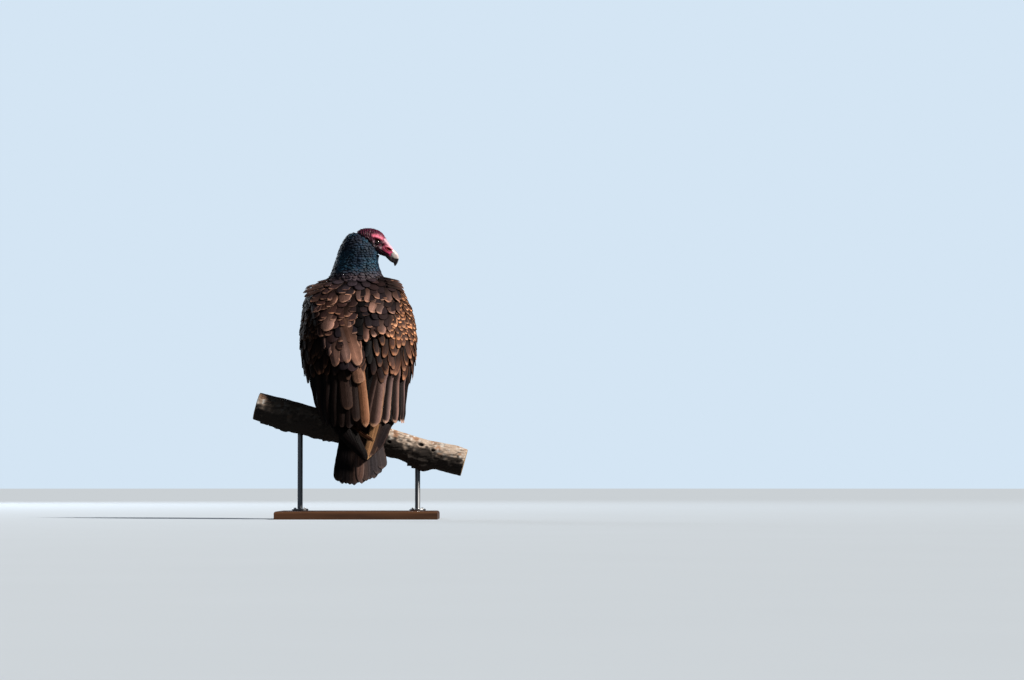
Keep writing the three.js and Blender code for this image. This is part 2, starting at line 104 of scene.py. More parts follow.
def chance(ix, iy, iz, seed):  # a repeatable number from 0 to 1 for each whole-number place
    h = (ix * 374761393 + iy * 668265263 + iz * 1103515245 + seed * 974711) & 0xFFFFFFFF
    h = ((h ^ (h >> 13)) * 1274126177) & 0xFFFFFFFF
    return ((h ^ (h >> 16)) & 0xFFFF) / 65535.0


def mottle(points, size, seed=0):  # smooth noise from -1 to 1, with patches about size across
    place = points / size
    base = np.floor(place).astype(np.int64)
    part = place - base
    part = part * part * (3 - 2 * part)
    total = 0
    for corner in np.ndindex(2, 2, 2):
        weight = 1
        for axis, step in enumerate(corner):
            weight = weight * (part[..., axis] if step else 1 - part[..., axis])
        total = total + weight * chance(*(base[..., axis] + corner[axis] for axis in range(3)), seed)
    return total * 2 - 1


def vectorsOf(items, field):
    values = np.empty(len(items) * 3)
    items.foreach_get(field, values)
    return values.reshape(-1, 3)


def pointsOf(piece):
    return vectorsOf(piece.data.vertices, "co")


def normalsOf(piece):
    return vectorsOf(piece.data.vertex_normals, "vector")


def movePoints(piece, points):
    piece.data.vertices.foreach_set("co", np.asarray(points, np.float32).ravel())
    piece.data.update()


def addObject(name, data):
    made = bpy.data.objects.new(name, data)
    scene.collection.objects.link(made)
    return made


def smoothIn(piece, material):  # smooth faces, all in one material
    piece.data.polygons.foreach_set("use_smooth", np.ones(len(piece.data.polygons), bool))
    piece.data.materials.append(material)


def newPiece(name, points, faces, material):
    mesh = bpy.data.meshes.new(name)
    count, sides = faces.shape
    mesh.vertices.add(len(points))
    mesh.vertices.foreach_set("co", np.asarray(points, np.float32).ravel())
    mesh.loops.add(count * sides)
    mesh.loops.foreach_set("vertex_index", faces.astype(np.int32).ravel())
    mesh.polygons.add(count)
    mesh.polygons.foreach_set("loop_start", np.arange(0, count * sides, sides, dtype=np.int32))
    mesh.update(calc_edges=True)
    piece = addObject(name, mesh)
    smoothIn(piece, material)
    return piece


def addMap(piece, name, flat):  # a UV map from a place for each corner
    layer = piece.data.uv_layers.new(name=name)
    layer.data.foreach_set("uv", flat.astype(np.float32).ravel())


def addShade(piece, name, colours):  # a colour at every point, rgb and a fourth value
    layer = piece.data.color_attributes.new(name, "FLOAT_COLOR", "POINT")
    colours = np.asarray(colours, np.float32)
    if colours.shape[1] == 3:
        colours = np.hstack([colours, np.ones((len(colours), 1), np.float32)])
    layer.data.foreach_set("color", colours.ravel())


def nodeCopy(names, name, grow=0.0, cuts={}, drawnIn=0.0):
    # merged copies of CAD nodes in one new mesh, some cut off below a height and drawn in there
    work = bmesh.new()
    for node in names:
        part = bmesh.new()
        part.from_mesh(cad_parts[node].data)
        bmesh.ops.remove_doubles(part, verts=part.verts, dist=1e-5)
        if node in cuts:
            around = part.verts[:] + part.edges[:] + part.faces[:]
            cut = bmesh.ops.bisect_plane(part, geom=around, plane_co=(0, 0, cuts[node]), plane_no=(0, 0, 1),
                                         clear_inner=True)
            rim = [e for e in cut["geom_cut"] if isinstance(e, bmesh.types.BMEdge)]
            bmesh.ops.holes_fill(part, edges=rim)
            for vert in part.verts:
                if vert.co.z < cuts[node] + 1e-4:
                    level = Vector((vert.co.x, vert.co.y, 0))
                    vert.co -= level.normalized() * min(drawnIn, level.length)
        part.normal_update()
        if grow:
            for vert in part.verts:
                vert.co += vert.normal * grow
        mesh = bpy.data.meshes.new("part")
        part.to_mesh(mesh)
        part.free()
        work.from_mesh(mesh)
        bpy.data.meshes.remove(mesh)
    mesh = bpy.data.meshes.new(name)
    work.to_mesh(mesh)
    work.free()
    return addObject(name, mesh)


def treeOf(names):  # the nodes' surface for ray casts, and whose each face is
    corners, faces, owners = [], [], []
    for index, node in enumerate(names):
        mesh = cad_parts[node].data
        start = len(corners)
        corners += [v.co.copy() for v in mesh.vertices]
        for face in mesh.polygons:
            faces.append([start + k for k in face.vertices])
            owners.append(index)
    return BVHTree.FromPolygons(corners, faces), owners


def middleOf(node):
    low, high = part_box(node)
    return np.array((low + high) / 2)


def finishPiece(piece, replaces=()):
    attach(piece, "root")
    if replaces:
        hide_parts(*replaces)


class Board:  # makes and wires the nodes of one shader tree
    def __init__(self, tree):
        self.tree = tree

    def feed(self, socket, value):
        if isinstance(value, bpy.types.NodeSocket):
            self.tree.links.new(value, socket)
        elif value is not None:
            if socket.type == "RGBA":
                value = (*value, 1)
            socket.default_value = value

    def node(self, kind, sockets=None, **settings):
        made = self.tree.nodes.new(kind)
        for key, value in settings.items():
            setattr(made, key, value)
        for key, value in (sockets or {}).items():
            self.feed(made.inputs[key], value)
        return made

    def math(self, operation, first, second=None, third=None):
        made = self.node("ShaderNodeMath", operation=operation)
        for socket, value in zip(made.inputs, (first, second, third)):
            self.feed(socket, value)
        return made.outputs[0]

    def step(self, value, low, high):  # a soft step up from low to high
        made = self.node("ShaderNodeMapRange", interpolation_type="SMOOTHSTEP")
        for key, number in (("Value", value), ("From Min", low), ("From Max", high)):
            self.feed(made.inputs[key], number)
        return made.outputs[0]

    def mix(self, factor, first, second, blendType="MIX"):
        made = self.node("ShaderNodeMix", data_type="RGBA", blend_type=blendType)
        self.feed(made.inputs[0], factor)
        self.feed(made.inputs[6], first)
        self.feed(made.inputs[7], second)
        return made.outputs[2]

    def noise(self, vector, scale, detail=3, roughness=0.55):
        sockets = {"Vector": vector, "Scale": scale, "Detail": detail, "Roughness": roughness}
        return self.node("ShaderNodeTexNoise", sockets).outputs[0]

    def dim(self, colour, value):  # the colour, as bright as the value says
        grey = self.node("ShaderNodeCombineColor")
        for socket in grey.inputs[:3]:
            self.feed(socket, value)
        return self.mix(1.0, colour, grey.outputs[0], "MULTIPLY")

    def shade(self, name):
        return self.node("ShaderNodeVertexColor", layer_name=name)

    def place(self):
        return self.node("ShaderNodeTexCoord").outputs["Object"]

    def stretched(self, vector, scale):
        return self.node("ShaderNodeMapping", {"Vector": vector, "Scale": scale}).outputs[0]


def newMaterial(name, **values):
    material = bpy.data.materials.new(name)
    material.use_nodes = True
    board = Board(material.node_tree)
    shader = material.node_tree.nodes["Principled BSDF"]
    for key, value in values.items():
        board.feed(shader.inputs[key.replace("_", " ")], value)
    return material, board, shader


def addBump(board, shader, height, strength, distance):
    bump = board.node("ShaderNodeBump", {"Height": height, "Strength": strength, "Distance": distance})
    board.feed(shader.inputs["Normal"], bump.outputs[0])


def newGroup(name, ins, outs):  # ins and outs are lists of socket name, type and default
    tree = bpy.data.node_groups.new(name, "ShaderNodeTree")
    for label, kind, default in ins:
        socket = tree.interface.new_socket(label, in_out="INPUT", socket_type="NodeSocket" + kind)
        socket.default_value = default
    for label, kind in outs:
        tree.interface.new_socket(label, in_out="OUTPUT", socket_type="NodeSocket" + kind)
    board = Board(tree)
    return board, board.node("NodeGroupInput").outputs, board.node("NodeGroupOutput").inputs


# What stands round the bird: camera, two lights, a pale sky and a floor.
view = {"middle": (0.344, 0.0, 0.400), "distance": 8.0, "height": 0.086, "lens": 125.8, "farEnd": 60}
keyLight = {"side": 68, "height": 40, "softness": 6,  # degrees
            "away": 3, "strength": 5.2, "colour": (1.0, 0.94, 0.87)}
fillLight = {"at": (-3.0, 5.0, 2.5), "size": 3.0, "power": 110, "colour": (0.85, 0.92, 1.0)}
sky = {"seen": paint(212, 229, 244), "light": (0.62, 0.74, 0.9), "strength": 0.09}
floorLook = {"radius": 30.0, "colour": (0.56, 0.63, 0.70), "haze": 0.96,
             "bounce": 0.22}  # how much of its light it throws back up


def aimAt(thing, target):
    thing.rotation_euler = (target - thing.location).to_track_quat("-Z", "Y").to_euler()


def makeCamera():
    camera = addObject("camera", bpy.data.cameras.new("camera"))
    target = Vector(view["middle"])
    camera.location = (target.x, -view["distance"], view["height"])
    aimAt(camera, target)
    camera.data.lens = view["lens"]
    camera.data.clip_end = view["farEnd"]
    scene.camera = camera


def makeLights():
    centre = (cadBox[0] + cadBox[1]) / 2
    side, height = math.radians(keyLight["side"]), math.radians(keyLight["height"])
    level = math.cos(height)
    toLight = Vector((math.sin(side) * level, -math.cos(side) * level, math.sin(height)))
    sun = addObject("key", bpy.data.lights.new("key", "SUN"))
    sun.data.energy = keyLight["strength"]
    sun.data.color = keyLight["colour"]
    sun.data.angle = math.radians(keyLight["softness"])
    sun.location = centre + toLight * keyLight["away"]
    aimAt(sun, centre)
    disk = addObject("fill", bpy.data.lights.new("fill", "AREA"))
    disk.data.shape = "DISK"
    disk.data.size = fillLight["size"]
    disk.data.energy = fillLight["power"]
    disk.data.color = fillLight["colour"]
    disk.location = fillLight["at"]
    aimAt(disk, centre)


def makeSky():  # a pale sky behind the bird, and a dimmer one that lights it
    world = bpy.data.worlds.new("studio")
    scene.world = world
    world.use_nodes = True
    board = Board(world.node_tree)
    plain = world.node_tree.nodes["Background"]
    board.feed(plain.inputs["Color"], sky["light"])
    plain.inputs["Strength"].default_value = sky["strength"]
    seen = board.node("ShaderNodeBackground", {"Color": sky["seen"], "Strength": 1.0})
    ray = board.node("ShaderNodeLightPath").outputs["Is Camera Ray"]
    both = board.node("ShaderNodeMixShader", {0: ray, 1: plain.outputs[0], 2: seen.outputs[0]})
    board.feed(world.node_tree.nodes["World Output"].inputs[0], both.outputs[0])
    scene.view_settings.view_transform = "Standard"


def makeFloor():
    bpy.ops.object.select_all(action="DESELECT")
    bpy.ops.mesh.primitive_circle_add(vertices=96, radius=floorLook["radius"], fill_type="NGON")
    floor = bpy.context.object
    floor.name = "floor"
    material, board, shader = newMaterial("paleFloor", Roughness=0.9)
    hazy, dim = (tuple(c * floorLook[key] for c in floorLook["colour"]) for key in ("haze", "bounce"))
    ground = board.mix(board.noise(board.place(), 3.0, 4), floorLook["colour"], hazy)
    direct = board.node("ShaderNodeLightPath").outputs["Is Camera Ray"]
    board.feed(shader.inputs["Base Color"], board.mix(direct, dim, ground))
    floor.data.materials.append(material)


makeCamera()
makeLights()
makeSky()
makeFloor()
say("camera, light and floor")


class Guide:
    # a smooth sheet over chosen solids, that feathers follow; u runs round or across and v down, both 0 to 1
    def __init__(self, names, origins, outward, reach, closed, soften=3, past=0.0):
        self.closed, self.fine = closed, None
        tree, owners = treeOf(names)
        shape = origins.shape[:2]
        far, known = np.zeros(shape), np.zeros(shape, bool)
        self.owner = np.full(shape, -1)
        for i in range(shape[0]):
            for j in range(shape[1]):
                direction = Vector(outward[i, j])
                start = Vector(origins[i, j]) + direction * reach
                hit = tree.ray_cast(start, -direction, reach + past)
                if hit[0] is not None:
                    far[i, j], known[i, j] = reach - hit[3], True
                    self.owner[i, j] = owners[hit[2]]
        self.known = known
        far = self.filled(far, known)
        for _ in range(soften):
            far = self.smoothed(far)
        self.points = origins + outward * far[..., None]
        along = self.slope(self.points, 0)
        down = self.slope(self.points, 1)
        normal = np.cross(along, down)
        normal /= np.linalg.norm(normal, axis=2, keepdims=True) + 1e-12
        normal *= np.sign((normal * outward).sum(2, keepdims=True) + 1e-9)
        for _ in range(2):
            normal = np.stack([self.smoothed(normal[..., k]) for k in range(3)], 2)
        self.normal = normal / (np.linalg.norm(normal, axis=2, keepdims=True) + 1e-12)
        self.along, self.down = along, down

    def shifted(self, grid, axis, step):
        moved = np.roll(grid, step, axis)
        if axis == 1 or not self.closed:
            edge = [slice(None)] * grid.ndim
            edge[axis] = 0 if step > 0 else -1
            moved[tuple(edge)] = grid[tuple(edge)]
        return moved

    def smoothed(self, grid):
        total = grid * 2
        for axis in (0, 1):
            total = total + self.shifted(grid, axis, 1) + self.shifted(grid, axis, -1)
        return total / 6

    def filled(self, values, known):  # spreads what the rays found over the places they missed
        values, known = values * known, known.astype(float)
        for _ in range(400):
            if known.min() > 0:
                break
            total, weight = 0, 0
            for axis in (0, 1):
                for step in (1, -1):
                    total = total + self.shifted(values * known, axis, step)
                    weight = weight + self.shifted(known, axis, step)
            fresh = (known == 0) & (weight > 0)
            values = np.where(fresh, total / np.maximum(weight, 1), values)
            known = np.where(fresh, 1.0, known)
        return values

    def slope(self, grid, axis):
        size = grid.shape[axis]
        change = self.shifted(grid, axis, -1) - self.shifted(grid, axis, 1)
        cells = size if (axis == 0 and self.closed) else size - 1
        change = change * (cells / 2)
        if axis == 1 or not self.closed:
            for edge in (0, size - 1):
                at = [slice(None)] * grid.ndim
                at[axis] = edge
                change[tuple(at)] *= 2
        return change

    def read(self, grid, u, v):
        columns, rows = grid.shape[:2]
        if self.closed:
            x = np.mod(u, 1) * columns
            i = np.floor(x).astype(int) % columns
            nextI = (i + 1) % columns
            fx = x - np.floor(x)
        else:
            x = np.clip(u, 0, 1) * (columns - 1)
            i = np.minimum(x.astype(int), columns - 2)
            nextI, fx = i + 1, x - i
        y = np.clip(v, 0, 1) * (rows - 1)
        j = np.minimum(y.astype(int), rows - 2)
        fy = y - j
        if grid.ndim == 3:
            fx, fy = fx[..., None], fy[..., None]
        top = grid[i, j] * (1 - fx) + grid[nextI, j] * fx
        return top * (1 - fy) + (grid[i, j + 1] * (1 - fx) + grid[nextI, j + 1] * fx) * fy

    def at(self, u, v):
        return self.read(self.points, u, v)

    def normalAt(self, u, v):
        normal = self.read(self.normal, u, v)
        return normal / np.linalg.norm(normal, axis=-1, keepdims=True)

    def side(self, u, v, acrossBy):  # steps in u and v for one metre along a direction on the sheet
        along, down = self.read(self.along, u, v), self.read(self.down, u, v)
        aa, dd, ad = (along**2).sum(-1), (down**2).sum(-1), (along * down).sum(-1)
        ra, rd = (along * acrossBy).sum(-1), (down * acrossBy).sum(-1)
        share = aa * dd - ad * ad + 1e-12
        return (ra * dd - rd * ad) / share, (rd * aa - ra * ad) / share

    def covered(self, u, v, owners):  # 1 where one of these solids lies under the sheet
        held = np.isin(self.owner, owners).astype(float)
        return self.read(held, u, v)

    def find(self, x, z):  # u and v of the place on the back at x and z, in metres
        columns, rows = self.points.shape[:2]
        if self.fine is None:
            u = np.linspace(0, 1, columns * 3)[:, None] + np.zeros((1, rows * 3))
            v = np.linspace(0, 1, rows * 3)[None, :] + np.zeros((columns * 3, 1))
            self.fine = (u, v, self.at(u, v), self.normalAt(u, v)[..., 1] > 0.25)
        u, v, points, front = self.fine
        miss = (points[..., 0] - x) ** 2 + (points[..., 2] - z) ** 2 + front * 1.0
        best = np.unravel_index(np.argmin(miss), miss.shape)
        return u[best], v[best]


def fan(names, spine, columns=150, rows=110, reach=0.4, turn=(-180, 180), soften=3):
    # rays aimed at a spine inside the bird: rows hold share down, x, y, z in mm, and elevation in degrees
    spine = np.array(spine, float)
    down = np.linspace(0, 1, rows)
    x, y, z, rise = (np.interp(down, spine[:, 0], spine[:, k]) for k in (1, 2, 3, 4))
    closed = turn[1] - turn[0] == 360
    angle = np.radians(np.linspace(*turn, columns, endpoint=not closed))[:, None]
    rise = np.radians(rise)[None, :]
    level = np.cos(rise)
    outward = np.stack([np.sin(angle) * level, -np.cos(angle) * level, np.sin(rise) + 0 * angle], 2)
    origins = np.broadcast_to(np.stack([x, y, z], 1)[None] * mm, outward.shape)
    return Guide(names, origins, outward, reach, closed, soften)


def backSheet(node, low, high, columns=80, rows=100):
    # rays along Y from behind the bird, between two corners at x and z in mm
    x = np.linspace(low[0], high[0], columns)[:, None] * mm
    z = np.linspace(high[1], low[1], rows)[None, :] * mm
    origins = np.stack([x + 0 * z, 0 * x + 0 * z, z + 0 * x], 2)
    outward = np.zeros_like(origins)
    outward[..., 1] = -1
    return Guide([node], origins, outward, 0.3, False, past=0.3)


spines = {
    "body": [(0, -6, 48, 500, 74), (0.2, -5, 40, 482, 8), (0.55, 0, 0, 360, 0), (0.78, 4, -35, 275, -12),
             (1, 4, -30, 262, -80)],
    "wing": [(0, -4, 48, 490, 70), (0.25, -4, 36, 478, 5), (1, 3, -50, 250, -3)],
    "quill": [(0, 2, -10, 370, 0), (1, 5, -78, 185, 0)],
    "hood": [(0, -2, 52, 590, 84), (0.3, -3, 52, 585, 14), (0.55, -3, 52, 560, 0), (1, -6, 52, 498, -10)],
}
capeNodes = ["scapulars_left", "scapulars_right"]
wingNodes = ["wing_left", "wing_right", "secondaries_left", "secondaries_right"]
guides = {
    "body": fan(["trunk", "neck"], spines["body"]),
    "cape": fan(capeNodes, spines["wing"], soften=2),
    "back": fan([*capeNodes, "trunk", "neck"], spines["wing"], soften=5),
    "wing": fan(wingNodes, spines["wing"]),
    "great": fan(wingNodes, spines["wing"], soften=14),
    "quill": fan(wingNodes, spines["quill"], turn=(-140, 140), soften=14),
    "hood": fan(["neck", "head"], spines["hood"], columns=130, rows=100),
    "tail": backSheet("tail", (-80, 60), (90, 250)),
    "primary_left": backSheet("primaries_left", (-100, 120), (40, 270)),
    "primary_right": backSheet("primaries_right", (5, 120), (110, 275)),
}
for node in ("thigh_left", "thigh_right"):
    x, y, z = middleOf(node) / mm
    legSpine = [(0, x, y + 8, z + 22, 50), (0.3, x, y + 4, z + 8, 5), (1, x, y - 16, z - 48, -25)]
    guides[node] = fan([node], legSpine, columns=60, rows=50, reach=0.15)
say("guides")


# Vanes by kind. "wide" is where the full width is reached and "tip" where the end begins to round off, as
# shares of the length; "start" is the root's share of the width. In mm: how deep the root dips ("rise"), how
# far the tip stands up, camber, thickness, tilt and the shaft's ridge. "ragged" and "split" fray the edges.
vaneShapes = {
    "scale": {"steps": 6, "across": 4, "start": 0.35, "wide": 0.5, "tip": 0.6, "point": 2.0, "rise": 2.4,
              "tipLift": 0.3, "camber": 0.4, "thick": 0.26, "tilt": 0.2, "ragged": 0.03, "ridge": 0.04},
    "breast": {"steps": 7, "across": 4, "start": 0.3, "wide": 0.5, "tip": 0.62, "point": 2.0, "rise": 3.0,
               "tipLift": 0.3, "camber": 0.6, "thick": 0.28, "tilt": 0.3, "ragged": 0.05, "ridge": 0.05},
    "round": {"steps": 9, "across": 6, "start": 0.3, "wide": 0.55, "tip": 0.66, "point": 2.1, "rise": 3.2,
              "tipLift": 0.3, "camber": 0.8, "thick": 0.32, "tilt": 0.35, "ragged": 0.03, "ridge": 0.1},
    "long": {"steps": 12, "across": 6, "start": 0.3, "wide": 0.5, "tip": 0.72, "point": 2.1, "rise": 4.0,
             "tipLift": 0.3, "camber": 1.4, "thick": 0.36, "tilt": 0.7, "ragged": 0.04, "ridge": 0.14,
             "split": 0.16},
    "covert": {"steps": 12, "across": 6, "start": 0.4, "wide": 0.5, "tip": 0.55, "point": 1.7, "rise": 4.0,
               "tipLift": 0.5, "camber": 1.6, "thick": 0.36, "tilt": 0.9, "ragged": 0.05, "ridge": 0.14,
               "split": 0.18},
    "big": {"steps": 16, "across": 8, "start": 0.4, "wide": 0.55, "tip": 0.62, "point": 2.0, "rise": 3.2,
            "tipLift": 1.0, "camber": 2.6, "thick": 0.4, "tilt": 1.0, "ragged": 0.05, "ridge": 0.2,
            "split": 0.2},
    "soft": {"steps": 7, "across": 4, "start": 0.35, "wide": 0.4, "tip": 0.4, "point": 1.4, "rise": 4.0,
             "tipLift": 1.0, "camber": 0.7, "thick": 0.28, "tilt": 0.5, "ragged": 0.12, "ridge": 0.04},
    "secondary": {"steps": 30, "across": 8, "start": 0.5, "wide": 0.3, "tip": 0.86, "point": 1.6, "rise": 2.4,
                  "tipLift": 0.6, "camber": 3.2, "thick": 0.5, "tilt": 1.6, "ragged": 0.03, "ridge": 0.4,
                  "split": 0.08},
    "tertial": {"steps": 30, "across": 8, "start": 0.35, "wide": 0.3, "tip": 0.84, "point": 2.0, "rise": 8.0,
                "tipLift": 0.2, "camber": 2.2, "thick": 0.55, "tilt": 1.3, "ragged": 0.03, "ridge": 0.4,
                "split": 0.1},
    "quill": {"steps": 30, "across": 8, "start": 0.35, "wide": 0.3, "tip": 0.84, "point": 2.0, "rise": 2.4,
              "tipLift": 0.2, "camber": 1.3, "thick": 0.55, "tilt": 1.3, "ragged": 0.025, "ridge": 0.4},
}


def outlineOf(shape, s):  # half width at each place from the root to the tip, as a share of the widest
    growing = shape["start"] + (1 - shape["start"]) * np.sin(np.pi / 2 * np.clip(s / shape["wide"], 0, 1))
    ending = np.clip((s - shape["tip"]) / (1 - shape["tip"]), 0, 1) * 0.97
    return growing * (1 - ending ** shape["point"]) ** 0.5


def vaneFaces(steps, across):
    top = np.arange((steps + 1) * (across + 1)).reshape(steps + 1, across + 1)
    under = top.copy()
    inside = (steps - 1) * (across - 1)
    under[1:-1, 1:-1] = np.arange(inside).reshape(steps - 1, across - 1) + top.size
    quads = []
    for i in range(steps):
        for j in range(across):
            quads.append([top[i, j], top[i, j + 1], top[i + 1, j + 1], top[i + 1, j]])
            quads.append([under[i, j], under[i + 1, j], under[i + 1, j + 1], under[i, j + 1]])
    return np.array(quads), top.size + inside


def vanes(guide, root, tip, width, shape, seed, tiltSign, depth=0.0, lift=0.0, bow=0.0):
    # closed lens-shaped vanes from root to tip, both in u and v; returns points, the vane map and faces
    dice = np.random.default_rng(seed)
    count = len(width)
    steps, across = shape["steps"], shape["across"]
    s = (1 - (1 - np.linspace(0, 1, steps + 1)) ** 1.5)[None, :, None]  # closer stations towards the tip
    x = np.linspace(-1, 1, across + 1)[None, None, :]
    width = width[:, None, None] * mm
    outline = outlineOf(shape, s)
    ragged = 1 + shape["ragged"] * dice.uniform(-1, 1, (count, steps + 1, 2))
    notch = dice.uniform(0.4, 1, ragged.shape) * (dice.uniform(size=ragged.shape) < 0.16)
    ragged *= 1 - shape.get("split", 0) * notch
    half = width / 2 * outline * np.where(x < 0, ragged[:, :, 0:1], ragged[:, :, 1:2])
    down = s * (1 - 0.012 * x**2 * s**3) + 0 * width  # the vane's edges end a little before its middle
    du, dv = (tip[0] - root[0])[:, None, None], (tip[1] - root[1])[:, None, None]
    u, v = root[0][:, None, None] + du * down, root[1][:, None, None] + dv * down
    axis = guide.read(guide.along, u, v) * du[..., None] + guide.read(guide.down, u, v) * dv[..., None]
    axis /= np.linalg.norm(axis, axis=-1, keepdims=True) + 1e-12
    stepU, stepV = guide.side(u, v, np.cross(axis, guide.normalAt(u, v)))
    bow = np.asarray(bow, float).reshape(-1, 1, 1) * mm
    shift = half * x + bow * np.sin(np.pi * np.clip(down, 0, 1))
    u, v = u + stepU * shift, v + stepV * shift
    normal = guide.normalAt(u, v)
    tilt = shape["tilt"] * (tiltSign * dice.uniform(0.7, 1.2, count))[:, None, None] * x * blend(s, 0.1, 0.5)
    depth = np.asarray(depth, float).reshape(-1, 1, 1)
    height = -shape["rise"] * (1 - s) ** 1.2 - depth  # the root dips under the feathers above
    rise = shape["tipLift"] + (dice.normal(0, 0.16, count) + lift)
    height = height + rise[:, None, None] * s**3 + tilt
    height = height - shape["camber"] * (x**2) * outline * (half / (width / 2 + 1e-9))
    ridge = shape["ridge"] * (np.abs(x) < 0.01)
    points = guide.at(u, v) + normal * ((height + ridge) * mm)[..., None]
    body = shape["thick"] * (1 - x**2 * 0.7) * np.sin(np.pi * np.clip(s, 0.04, 0.96)) ** 0.5
    under = points - normal * ((body + ridge) * mm + 0 * width)[..., None]
    vaneMap = np.stack([(x + 1) / 2 + 0 * s, s + 0 * x], -1)
    faces, total = vaneFaces(steps, across)
    points = np.concatenate([points.reshape(count, -1, 3), under[:, 1:-1, 1:-1].reshape(count, -1, 3)], 1)
    flat = np.concatenate([vaneMap.reshape(-1, 2), vaneMap[0, 1:-1, 1:-1].reshape(-1, 2)], 0)
    return points, np.broadcast_to(flat, (count, total, 2)), faces


def march(guide, u, v, length, heading):
    # the tip's place for a feather of some length in mm, lying down the sheet and turned by heading
    parts = 4
    for _ in range(parts):
        along, down = guide.read(guide.along, u, v), guide.read(guide.down, u, v)
        step = length * mm / parts
        u = u + step * np.sin(heading) / (np.linalg.norm(along, axis=-1) + 1e-9)
        v = v + step * np.cos(heading) / (np.linalg.norm(down, axis=-1) + 1e-9)
    return u, v


def between(pair, share):
    return pair[0] + (pair[1] - pair[0]) * share


def rowsOf(guide, fromV, toV, rowGap, spacing, seed, uRange):
    # roots in staggered rows with real distances; the gaps are pairs, at the top and at the bottom
    dice = np.random.default_rng(seed)
    us, vs = [], []
    v, row = fromV, 0
    ring = np.linspace(*uRange, 240)
    while v < toV:
        share = (v - fromV) / (toV - fromV)
        level = np.full_like(ring, v)
        reach = np.cumsum(np.linalg.norm(np.diff(guide.at(ring, level), axis=0), axis=1))
        reach = np.concatenate([[0], reach])
        count = max(int(reach[-1] / (between(spacing, share) * mm)), 1)
        places = (np.arange(count) + 0.25 + 0.5 * (row % 2) + dice.uniform(-0.16, 0.16, count)) / count
        us.append(np.interp(places * reach[-1], reach, ring))
        downLength = np.median(np.linalg.norm(guide.read(guide.down, ring, level), axis=-1))
        step = between(rowGap, share) * mm / downLength
        vs.append(v + dice.uniform(-0.22, 0.22, count) * step)
        v, row = v + step, row + 1
    return np.concatenate(us), np.concatenate(vs)


class Coat:  # gathers the feathers of one piece, with their colours and maps
    def __init__(self, name):
        self.name, self.total = name, 0
        self.points, self.faces, self.tints, self.edges = [], [], [], []
        self.maps = {"OFBake": [], "vane": []}

    def add(self, made, tint, edge, places, cells=None):
        points, maps, faces = made
        count, each = points.shape[:2]
        self.points.append(points.reshape(-1, 3))
        offsets = self.total + np.arange(count)[:, None, None] * each
        self.faces.append((faces[None] + offsets).reshape(-1, 4))
        self.tints.append(np.repeat(tint, each, 0) if tint.ndim == 2 else tint.reshape(-1, 4))
        self.edges.append(np.repeat(edge, each, 0))
        if cells is None:  # a patch 0.003 across at each root's place
            patch = np.stack(places, 1)[:, None, :] * 0.99 + 0.003 * maps
        else:  # long quills get a strip each, so that their bars and edges keep their detail
            patch = cells[:, None, 0:2] + cells[:, None, 2:4] * maps
        self.maps["OFBake"].append(patch.reshape(-1, 2))
        self.maps["vane"].append(maps.reshape(-1, 2))
        self.total += count * each

    def build(self, material, replaces=()):
        faces = np.concatenate(self.faces)
        piece = newPiece(self.name, np.concatenate(self.points), faces, material)
        for label, places in self.maps.items():
            addMap(piece, label, np.concatenate(places)[faces.ravel()])
        addShade(piece, "tint", np.concatenate(self.tints))
        addShade(piece, "edge", np.concatenate(self.edges))
        finishPiece(piece, replaces)
        say(f"{self.name}: {len(faces) * 2} triangles")


def stripCells(count):  # a strip of the map for each quill: its corner, width and height
    wide = 1 / count
    corners = np.arange(count) * wide + wide * 0.1
    return np.stack([corners, np.full(count, 0.05), np.full(count, wide * 0.8), np.full(count, 0.9)], 1)


def dyed(colour, count, seed, spread, warm=0.05):
    # one colour a feather, varied in brightness and a little in warmth
    dice = np.random.default_rng(seed)
    bright = np.exp(dice.normal(0, spread, count))[:, None]
    tone = 1 + dice.normal(0, warm, count)[:, None] * np.array([1, 0, -1])
    return np.asarray(colour) * bright * tone


def withStrength(colours, strength):
    strength = np.broadcast_to(np.asarray(strength, float), (len(colours),))
    return np.hstack([colours, strength[:, None]])


def shareMix(first, second, share):
    share = np.asarray(share)[:, None]
    return np.asarray(first) * (1 - share) + np.asarray(second) * share


